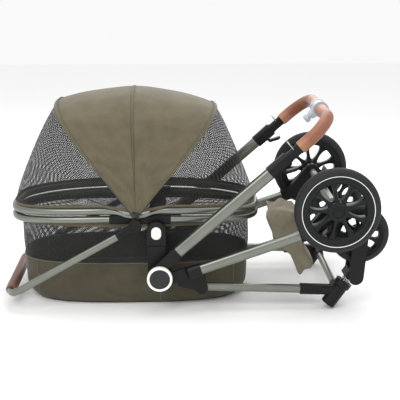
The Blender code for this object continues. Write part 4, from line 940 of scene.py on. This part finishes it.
def front_wheels():
    low, high = FRONT_LEG_Y - 0.017, FRONT_LEG_Y + 0.017
    radius = (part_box("front_wheel_right")[1].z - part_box("front_wheel_right")[0].z) / 2
    inner = radius * 0.80
    for label, side in LEFT_RIGHT.items():
        body = "front_wheel_body_" + label
        bounds = (low, high) if side > 0 else (-high, -low)
        tyre("front_tyre_ring_" + label, flat(FRONT_AXLE, 0), *bounds, radius, inner, body,
             "front_wheel_" + label)
        spoked_rim("front_spokes_" + label, FRONT_AXLE, side, low, high, radius * 0.66, 0.022, inner + 0.002,
                   body, RIM_NYLON)
        for way, y in ((1, high - 0.0010), (-1, low + 0.0010)):
            face = "outer" if way > 0 else "inner"
            pinstripe(f"front_stripe_{label}_{face}", FRONT_AXLE, side, y, inner + 0.003, 0.0026, body)
        hub_cap("front_cap_" + label, FRONT_AXLE, side, high + 0.0005, 0.020, body)


# ---- stage -----------------------------------------------------------------------------------------------


CAMERA_PLACE = (0.112, -2.7826, 1.064)
CAMERA_TILT = 15.5
CAMERA_TURN = 1.9
CAMERA_LENS = 81


def stage():
    """Pale floor, soft studio light and the camera."""
    paper, tree, shader = surface("studio_paper", "#f7f7f7", 0.9)
    bm = bmesh.new()
    bmesh.ops.create_grid(bm, x_segments=1, y_segments=1, size=6.0)
    mesh = bpy.data.meshes.new("floor")
    bm.to_mesh(mesh)
    bm.free()
    floor = bpy.data.objects.new("floor", mesh)
    bpy.context.scene.collection.objects.link(floor)
    mesh.materials.append(paper)
    floor.location = (0.2, 0, cad_box[0][2] - 0.0005)
    world = bpy.data.worlds.new("studio")
    world.use_nodes = True
    world.node_tree.nodes["Background"].inputs["Color"].default_value = (1, 1, 1, 1)
    world.node_tree.nodes["Background"].inputs["Strength"].default_value = 0.95
    bpy.context.scene.world = world
    for name, place, power, size in (("key", (-1.2, -2.4, 2.6), 42, 1.6), ("top", (0.4, 0.2, 2.8), 30, 2.2),
                                     ("back", (0.8, 2.2, 1.6), 20, 1.6)):
        lamp = bpy.data.lights.new(name, "AREA")
        lamp.energy = power
        lamp.size = size
        lit = bpy.data.objects.new(name, lamp)
        lit.location = place
        lit.rotation_euler = (Vector((0.15, 0, 0.25)) - Vector(place)).to_track_quat("-Z", "Y").to_euler()
        bpy.context.scene.collection.objects.link(lit)
    view = bpy.data.cameras.new("camera")
    view.lens = CAMERA_LENS
    view.sensor_width = 36
    eye = bpy.data.objects.new("camera", view)
    eye.location = CAMERA_PLACE
    eye.rotation_euler = (math.radians(90 - CAMERA_TILT), 0, math.radians(-CAMERA_TURN))
    bpy.context.scene.collection.objects.link(eye)
    bpy.context.scene.camera = eye
    bpy.context.scene.view_settings.view_transform = "Standard"


# ---- soft goods ------------------------------------------------------------------------------------------

CLOTH = 0.0012
HOOD_HEM = 0.022
SAG = 0.012
PROUD = 0.0045


def even(path, count):
    """A path cut into equal steps by length."""
    path = [Vector(p) for p in path]
    runs = [0.0]
    for a, b in zip(path, path[1:]):
        runs.append(runs[-1] + (b - a).length)
    points, k = [], 0
    for i in range(count + 1):
        want = runs[-1] * i / count
        while k < len(path) - 2 and runs[k + 1] < want:
            k += 1
        share = (want - runs[k]) / max(runs[k + 1] - runs[k], 1e-9)
        points.append(path[k].lerp(path[k + 1], min(share, 1.0)))
    return points


def length_of(path):
    return sum((Vector(b) - Vector(a)).length for a, b in zip(path, path[1:]))


def area_of(piece):
    return sum(face.area for face in piece.data.polygons)


def baked(piece):
    """The mesh as its modifiers leave it."""
    bpy.context.view_layer.update()
    graph = bpy.context.evaluated_depsgraph_get()
    mesh = bpy.data.meshes.new_from_object(piece.evaluated_get(graph))
    piece.modifiers.clear()
    piece.data = mesh
    return piece


def hang(piece, first, second, start, end, slot, *nodes):
    """Bakes a cloth piece's transform into its mesh and hides the CAD nodes it stands for; first, second, start, end
    and slot are not used.
    """
    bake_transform(piece)
    if nodes:
        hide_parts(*nodes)
    return piece


def cloth_sheet(piece, wide, long, area, *rests_on):
    """Rounds a sheet's flat size and keeps nothing; the piece, area and rests_on are not used."""
    wide, long = round(wide, 3), round(long, 3)


def arch(angle, reach, half, start, grow=PROUD, count=96):
    """One line of hood cloth over the bows, from the right hem to the left hem."""
    profile = [(BOW_LEG * i / 10, half + grow) for i in range(10)]
    for i in range(61):
        turn = math.pi * i / 60
        s, c = math.sin(turn), math.cos(turn)
        profile.append((BOW_LEG + (reach + grow - BOW_LEG) * s ** 0.8,
                        (half + grow) * math.copysign(abs(c) ** 0.8, c)))
    profile += [(BOW_LEG * i / 10, -half - grow) for i in range(9, -1, -1)]
    shrink = 1 - start / (reach + grow)
    return even([flat(polar(HOOD, angle, start + r * shrink), y) for r, y in profile], count)


def crease(point, share, depth):
    """How far the cloth stands out at a point: folds across it near the pin, and a slow drift elsewhere."""
    distance = math.hypot(point.x - HOOD[0], point.z - HOOD[1])
    near = max(0.0, 1 - distance / 0.190)
    between = math.sin(math.pi * share)
    bend = 16 * noise.noise(point * 9)
    fold = math.sin(2 * math.pi * distance / 0.024 + bend * 0.35 + 3.5 * share) * near ** 0.8
    drift = noise.noise(point * 11 + Vector((3.1, 0, 7.7)))
    room = min(1.0, max(0.0, distance - 0.055) / 0.035)
    return between * room * (depth * fold + 0.0022 * drift)


def hood_line(first, last, share, count=96):
    """A line of canopy cloth between two bows."""
    low, high = BOWS[first], BOWS[last]
    angle = low[0] + (high[0] - low[0]) * share
    reach = low[1] + (high[1] - low[1]) * share - SAG * math.sin(math.pi * share)
    line = []
    for point in arch(angle, reach, layer(4), HOOD_HEM, count=count):
        out = Vector((0, math.copysign(1, point.y), 0)) if abs(point.y) > 0.05 else Vector((0, 0, 0))
        roof = Vector((point.x - HOOD[0], 0, point.z - HOOD[1])).normalized()
        side = min(1.0, abs(point.y) / layer(4))
        line.append(point + (out * side + roof * (1 - side)) * crease(point, share, 0.0042))
    return line


def canopy():
    """Two cloth panels that meet at the seam over the centre bow, with taped edges on the outer bows."""
    middle = 0.19
    for name, first, last, bodies in (("canopy_rear_panel", "rear_bow", "centre_bow", ("rear_hood", "centre_hood")),
                                      ("canopy_front_panel", "centre_bow", "front_bow",
                                       ("centre_hood", "front_hood"))):
        rows = [hood_line(first, last, i / 22) for i in range(23)]
        panel = skin(name, rows, HOOD_CLOTH, caps=False, ring=False, sharp=80)
        wide = max(length_of([row[k] for row in rows]) for k in range(0, 97, 8))
        cut_area = area_of(panel) / 1.01
        long = max(length_of(rows[0]), length_of(rows[-1]))
        baked(thick(panel, CLOTH))
        start = flat(polar(HOOD, BOWS[first][0], middle), 0)
        end = flat(polar(HOOD, BOWS[last][0], middle), 0)
        hang(panel, *bodies, start, end, "olive_fabric", *(["hood_canopy"] if first == "rear_bow" else []))
        cloth_sheet(panel, wide, long, cut_area, first, last)
    for name, bow, body, finish, wide in (("canopy_rear_hem", "rear_bow", "rear_hood", HOOD_CLOTH, 1.9),
                                          ("canopy_centre_tape", "centre_bow", "centre_hood", HOOD_CLOTH, 1.2),
                                          ("canopy_front_hem", "front_bow", "front_hood", HOOD_CLOTH, 1.9)):
        angle, reach, _ = BOWS[bow]
        rows = []
        for step, lift in ((-1, -0.0006), (-0.9, 0.0008), (0, 0.0012), (0.9, 0.0008), (1, -0.0006)):
            shifted = angle + step * wide * 0.5
            rows.append(arch(shifted, reach, layer(4), HOOD_HEM, PROUD + 0.0009 + lift))
        tape = skin(name, rows, finish, caps=False, ring=False, sharp=60)
        put(baked(thick(tape, 0.0006)), body, "olive_fabric")
        for label, step in (("a", -0.35), ("b", 0.35)):
            line = arch(angle + step * wide, reach, layer(4), HOOD_HEM, PROUD + 0.0022)
            line = [point for point in line if math.hypot(point.x - HOOD[0], point.z - HOOD[1]) > 0.075]
            stitches(f"{name}_stitch_{label}", line, body, BINDING, 0.0042, 0.0030, 0.00045, "olive_fabric")


def rim_line(sign, count):
    """The line on top of the upper rim bow that a net is sewn to."""
    end = HOOD[0] + sign * 0.022
    path = []
    for x, y, z in rim_path(sign, end, UPPER_RIM_Z + RIM_RADIUS + 0.0015, 96):
        near = max(0.0, 1 - abs(x - HOOD[0]) / 0.10)
        path.append(Vector((x, y + math.copysign(0.020 * near, y), z - 0.012 * near)))
    if path[0].y < 0:
        path.reverse()
    return even(path, count)


def hood_nets():
    """See-through nets from the outer bows down to the rim, with an olive cloth hem along the rim."""
    count, rows_down = 96, 20
    for name, bow, sign, bodies, node in (("net_front", "front_bow", -1, ("front_hood", "front_rim"), "hood_net_front"),
                                          ("net_rear", "rear_bow", 1, ("rear_hood", "carrier"), "hood_net_rear")):
        angle, reach, _ = BOWS[bow]
        top = arch(angle, reach, layer(4), HOOD_HEM, PROUD - 0.0012, count)
        foot = rim_line(sign, count)
        rows = []
        for i in range(rows_down + 1):
            share = i / rows_down
            line = []
            for a, b in zip(top, foot):
                turn_a = math.atan2(a.z - HOOD[1], a.x - HOOD[0])
                turn_b = math.atan2(b.z - HOOD[1], b.x - HOOD[0])
                far_a = math.hypot(a.x - HOOD[0], a.z - HOOD[1])
                far_b = math.hypot(b.x - HOOD[0], b.z - HOOD[1])
                turn = turn_a + (turn_b - turn_a) * share
                roof = max(0.0, 1 - abs(a.y) / layer(4)) ** 0.6
                far = far_a + (far_b - far_a) * share - 0.030 * math.sin(math.pi * share) * roof
                hollow = math.copysign(0.010, a.y) * math.sin(math.pi * share) * (1 - roof)
                y = a.y + (b.y - a.y) * share - hollow
                line.append(Vector((HOOD[0] + far * math.cos(turn), y, HOOD[1] + far * math.sin(turn))))
            rows.append(line)
        net = skin(name, rows, NET, caps=False, ring=False, sharp=80)
        wide = max(length_of([row[k] for row in rows]) for k in range(0, 97, 8))
        long = max(length_of(rows[0]), length_of(rows[-1]))
        cut_area = area_of(net) / 1.01
        bow_side = flat(polar(HOOD, angle, 0.20), 0)
        rim_side = flat(polar(HOOD, 172 if sign < 0 else 8, 0.24), 0)
        first, second = bodies
        if sign < 0:
            hang(net, first, second, bow_side, rim_side, "black_mesh", node)
        else:
            hang(net, second, first, rim_side, bow_side, "black_mesh", node)
        cloth_sheet(net, wide, long, cut_area, bow, "front_rim_bow" if sign < 0 else "rear_rim_bow")
        rim_body = "front_rim" if sign < 0 else "carrier"
        hem = [[p + Vector((0, 0, lift)) for p in foot] for lift in (-0.0035, 0.0, 0.0030, 0.0060)]
        strip = skin(name + "_rim_hem", hem, HOOD_CLOTH, caps=False, ring=False, sharp=60)
        put(baked(thick(strip, 0.0016)), rim_body, "olive_fabric")


# ---- carrier ---------------------------------------------------------------------------------------------


def tub_half(z):
    """Half length and half width of the tub's outside at a height: the bottom edge is rounded."""
    lean = 0.012 * (1 - z / LOWER_RIM_Z)
    tuck = 0.034 * max(0.0, 1 - z / 0.050) ** 2
    return CARRIER_HALF - TUB_INSET - lean - tuck, RIM_HALF - TUB_INSET / 2 - 0.4 * lean - 0.6 * tuck


def tub_line(z, grow=0.0, count=160):
    """The tub's outline at a height, in equal steps, without its last point."""
    half_length, half_width = tub_half(z)
    path = [(x, y, z) for x, y in oval(half_length + grow, half_width + grow, 0, 360, 360)]
    return even(path, count)[:-1]


def tub_skin(name, heights, grow, finish, sway=0.0):
    rows = []
    for z in heights:
        line = []
        for point in tub_line(z, grow):
            out = Vector((point.x * 0.3, point.y, 0)).normalized()
            line.append(point + out * sway * noise.noise(point * 14) if sway else point)
        rows.append(line)
    return skin(name, rows, finish, caps=False, sharp=60)


SEAMS = (-0.305, 0.076, 0.305)


def tub():
    """Cloth below, net above, piped seams between them, and a rigid pan underneath."""
    heights = [0.0015, 0.004, 0.008, 0.014, 0.021, 0.030, 0.040, 0.052, 0.066, 0.082, 0.100, 0.116, 0.127, 0.133,
               PANEL_TOP]
    panel = tub_skin("tub_panel", heights, 0.0008, PANEL_CLOTH, 0.0030)
    around = length_of(tub_line(PANEL_TOP))
    up = PANEL_TOP + 0.012
    panel_area = area_of(panel)
    put(baked(thick(panel, CLOTH)), "carrier", "olive_fabric", "tub_fabric")
    cloth_sheet(panel, around, up, panel_area, "carrier_base")
    steps = 16
    wall_heights = [PANEL_TOP + (TUB_TOP + 0.010 - PANEL_TOP) * i / steps for i in range(steps + 1)]
    wall = tub_skin("tub_wall_net", wall_heights, 0.0, WALL_NET, 0.0035)
    wall_area = area_of(wall)
    tall = wall_heights[-1] - PANEL_TOP
    put(wall, "carrier", "black_mesh")
    cloth_sheet(wall, around, tall, wall_area, "tub_panel")
    floor_rows = [tub_line(0.0035, -0.001), tub_line(0.0035, -0.150)]
    put(skin("tub_floor_cloth", floor_rows, PANEL_CLOTH, caps=False), "carrier", "olive_fabric")
    for name, z, grow, size, finish in (("tub_piping_top", PANEL_TOP, 0.0012, 0.0019, PIPING),
                                        ("tub_piping_foot", 0.0040, 0.0010, 0.0018, BINDING)):
        ring = tub_line(z, grow)
        put(skin(name, around_loop(ring, size), finish, closed=True), "carrier", "olive_fabric")
    for lift, name in ((-0.0045, "tub_top_stitch"), (0.0045, "tub_wall_stitch")):
        line = tub_line(PANEL_TOP + lift, 0.0026)
        stitches(name, line + line[:1], "carrier", PIPING, 0.0045, 0.0035, 0.0004, "olive_fabric")
    for k, x in enumerate(SEAMS):
        for label, side in LEFT_RIGHT.items():
            path = []
            for z in heights:
                half_length, half_width = tub_half(z)
                y = (half_width + 0.0016) * (1 - abs(x / (half_length + 0.0016)) ** RIM_POWER) ** (1 / RIM_POWER)
                path.append((x, side * y, z))
            seam = skin(f"tub_seam_{k}_{label}", along(path, (1, 0, 0), rounded(0.0016, 0.0012, 2, 12)), PIPING)
            put(seam, "carrier", "olive_fabric")
    band_heights = (TUB_TOP - 0.008, TUB_TOP - 0.004, TUB_TOP + 0.002, TUB_TOP + 0.007)
    binding = tub_skin("rim_binding", band_heights, 0.0026, HOOD_CLOTH, 0.0)
    put(baked(thick(binding, 0.0018)), "carrier", "olive_fabric")
    moulded("carrier_base", "carrier", "black_plastic", NYLON, 0.002)


def around_loop(path, radius):
    """Round sections along a level closed path."""
    loops = []
    for i, point in enumerate(path):
        run = (path[(i + 1) % len(path)] - path[i - 1]).normalized()
        sideways = Vector((0, 0, 1)).cross(run)
        loops.append([point + Vector((0, 0, v)) + sideways * u for u, v in rounded(radius, radius, 2, 12)])
    return loops


def cushion():
    """Foam pad in a dark cover, blown up a little by its filling, with a piped edge."""
    mesh = frame["nodes"]["cushion"].data.copy()
    pad = bpy.data.objects.new("cushion_pad", mesh)
    bpy.context.scene.collection.objects.link(pad)
    mesh.materials.clear()
    mesh.materials.append(LINER_KNIT)
    grain = pad.modifiers.new("voxels", "REMESH")
    grain.mode = "VOXEL"
    grain.voxel_size = 0.006
    baked(pad)
    rest = [v.co.copy() for v in pad.data.vertices]
    puff = pad.modifiers.new("puff", "CLOTH")
    puff.settings.use_pressure = True
    puff.settings.uniform_pressure_force = 4
    puff.settings.effector_weights.gravity = 0
    for number in range(1, 21):
        bpy.context.scene.frame_set(number)
    baked(pad)
    for vert, home in zip(pad.data.vertices, rest):
        move = vert.co - home
        most = 0.0055
        if move.length > most:
            vert.co = home + move * (most / move.length)
        vert.co.z = max(vert.co.z, home.z if home.z < 0.024 else vert.co.z)
    bpy.context.scene.frame_set(1)
    baked(rounder(pad))
    pad.data.shade_smooth()
    put(pad, "carrier", "dark_cushion", "cushion")
    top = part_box("cushion")[1].z
    half_length, half_width = tub_half(top)
    path = even([(x, y, top - 0.006) for x, y in oval(half_length - 0.0075, half_width - 0.0075, 0, 360, 240)],
                120)[:-1]
    edge = skin("cushion_piping", around_loop(path, 0.0022), LINER_CLOTH, closed=True)
    put(edge, "carrier", "dark_cushion")


# ---- basket ----------------------------------------------------------------------------------------------


def basket():
    """The storage basket, collapsed between the folded frames: a slack bag of cloth with deep folds."""
    low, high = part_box("storage_basket")
    root = Vector((low.x, 0, high.z - 0.008))
    outline = [(0.000, 0.000), (0.008, -0.030), (0.025, -0.087), (0.052, -0.114), (0.078, -0.142), (0.094, -0.172),
               (0.108, -0.200), (0.126, -0.198), (0.140, -0.190), (0.158, -0.162), (0.148, -0.142),
               (0.135, -0.122), (0.124, -0.094), (0.121, -0.067), (0.132, -0.034), (0.144, -0.004),
               (0.112, 0.006), (0.080, 0.008), (0.040, 0.006)]
    half = high.y
    rows = []
    across_steps = 40
    for i in range(across_steps + 1):
        y = -half + 2 * half * i / across_steps
        edge = abs(y) / half
        round_off = 1 - 0.06 * max(0.0, (edge - 0.86) / 0.14) ** 2
        sag = max(0.0, min(1.0, (y / half + 0.9) / 1.3))
        round_off *= 1 - 0.36 * sag * sag * (3 - 2 * sag)
        middle = Vector((0.084, 0, -0.120))
        line = []
        for u, v in outline:
            place = middle + (Vector((u, 0, v)) - middle) * round_off
            line.append(root + Vector((place.x, y, place.z)))
        smooth = smooth_path(line + line[:1], 5)[:-1]
        loop = []
        for k, point in enumerate(smooth):
            out = Vector((point.x - root.x - middle.x, 0, point.z - root.z - middle.z)).normalized()
            pleat = math.sin(2 * math.pi * (point.z * 17 + point.x * 9) + 5 * noise.noise(point * 8))
            slack = noise.noise(Vector((point.x * 16, point.y * 7, point.z * 16)))
            tuck = noise.noise(Vector((point.x * 40, point.y * 15, point.z * 40)))
            loop.append(point + out * (0.0060 * pleat + 0.0080 * slack + 0.0035 * tuck - 0.003))
        rows.append(loop)
    shell = skin("basket_bag", rows, BASKET_CLOTH, sharp=80)
    baked(rounder(shell))
    hang(shell, "rear_frame", "front_frame", (0.44, 0, 0.250), (0.47, 0, 0.080), "olive_fabric",
         "storage_basket")


# ---- mouldings -------------------------------------------------------------------------------------------


def finish_nodes():
    """The CAD mouldings, with rounded edges, in their real finish."""
    for label in LEFT_RIGHT:
        moulded("side_bracket_" + label, "carrier", "black_plastic", NYLON)
        moulded("release_button_" + label, "button_" + label, "white_plastic", CREAM_ABS)
        moulded("hub_" + label, "chassis", "black_plastic", NYLON)
        moulded("handle_housing_" + label, "handle", "black_plastic", NYLON)
        moulded("height_lever_" + label, "lever_" + label, "black_plastic", NYLON, 0.0006)
        moulded("rear_sleeve_" + label, "rear_frame", "black_plastic", NYLON)
        moulded("wheel_carrier_" + label, "rear_frame", "black_plastic", NYLON)
        moulded("caster_sleeve_" + label, "front_frame", "black_plastic", NYLON)
        moulded("fork_" + label, "fork_body_" + label, "black_plastic", NYLON)
        moulded("caster_stem_" + label, "caster_" + label, "steel", STEEL, 0.0008)
    moulded("brake_pedal", "brake", "black_plastic", NYLON)
    moulded("handlebar_centre", "push_bar", "grey_plastic", GREY_ABS)
    moulded("fold_button", "fold_release", "grey_plastic", GREY_ABS)


def main():
    stage()
    lower_rims()
    rim_bow("front_rim_bow", -1, 1, "front_rim")
    rim_bow("rear_rim_bow", 1, 0, "carrier")
    carry_handle()
    push_handle()
    hub_covers()
    rear_legs()
    front_legs()
    coil_springs()
    rear_wheels()
    front_wheels()
    canopy()
    hood_nets()
    tub()
    cushion()
    basket()
    finish_nodes()


main()
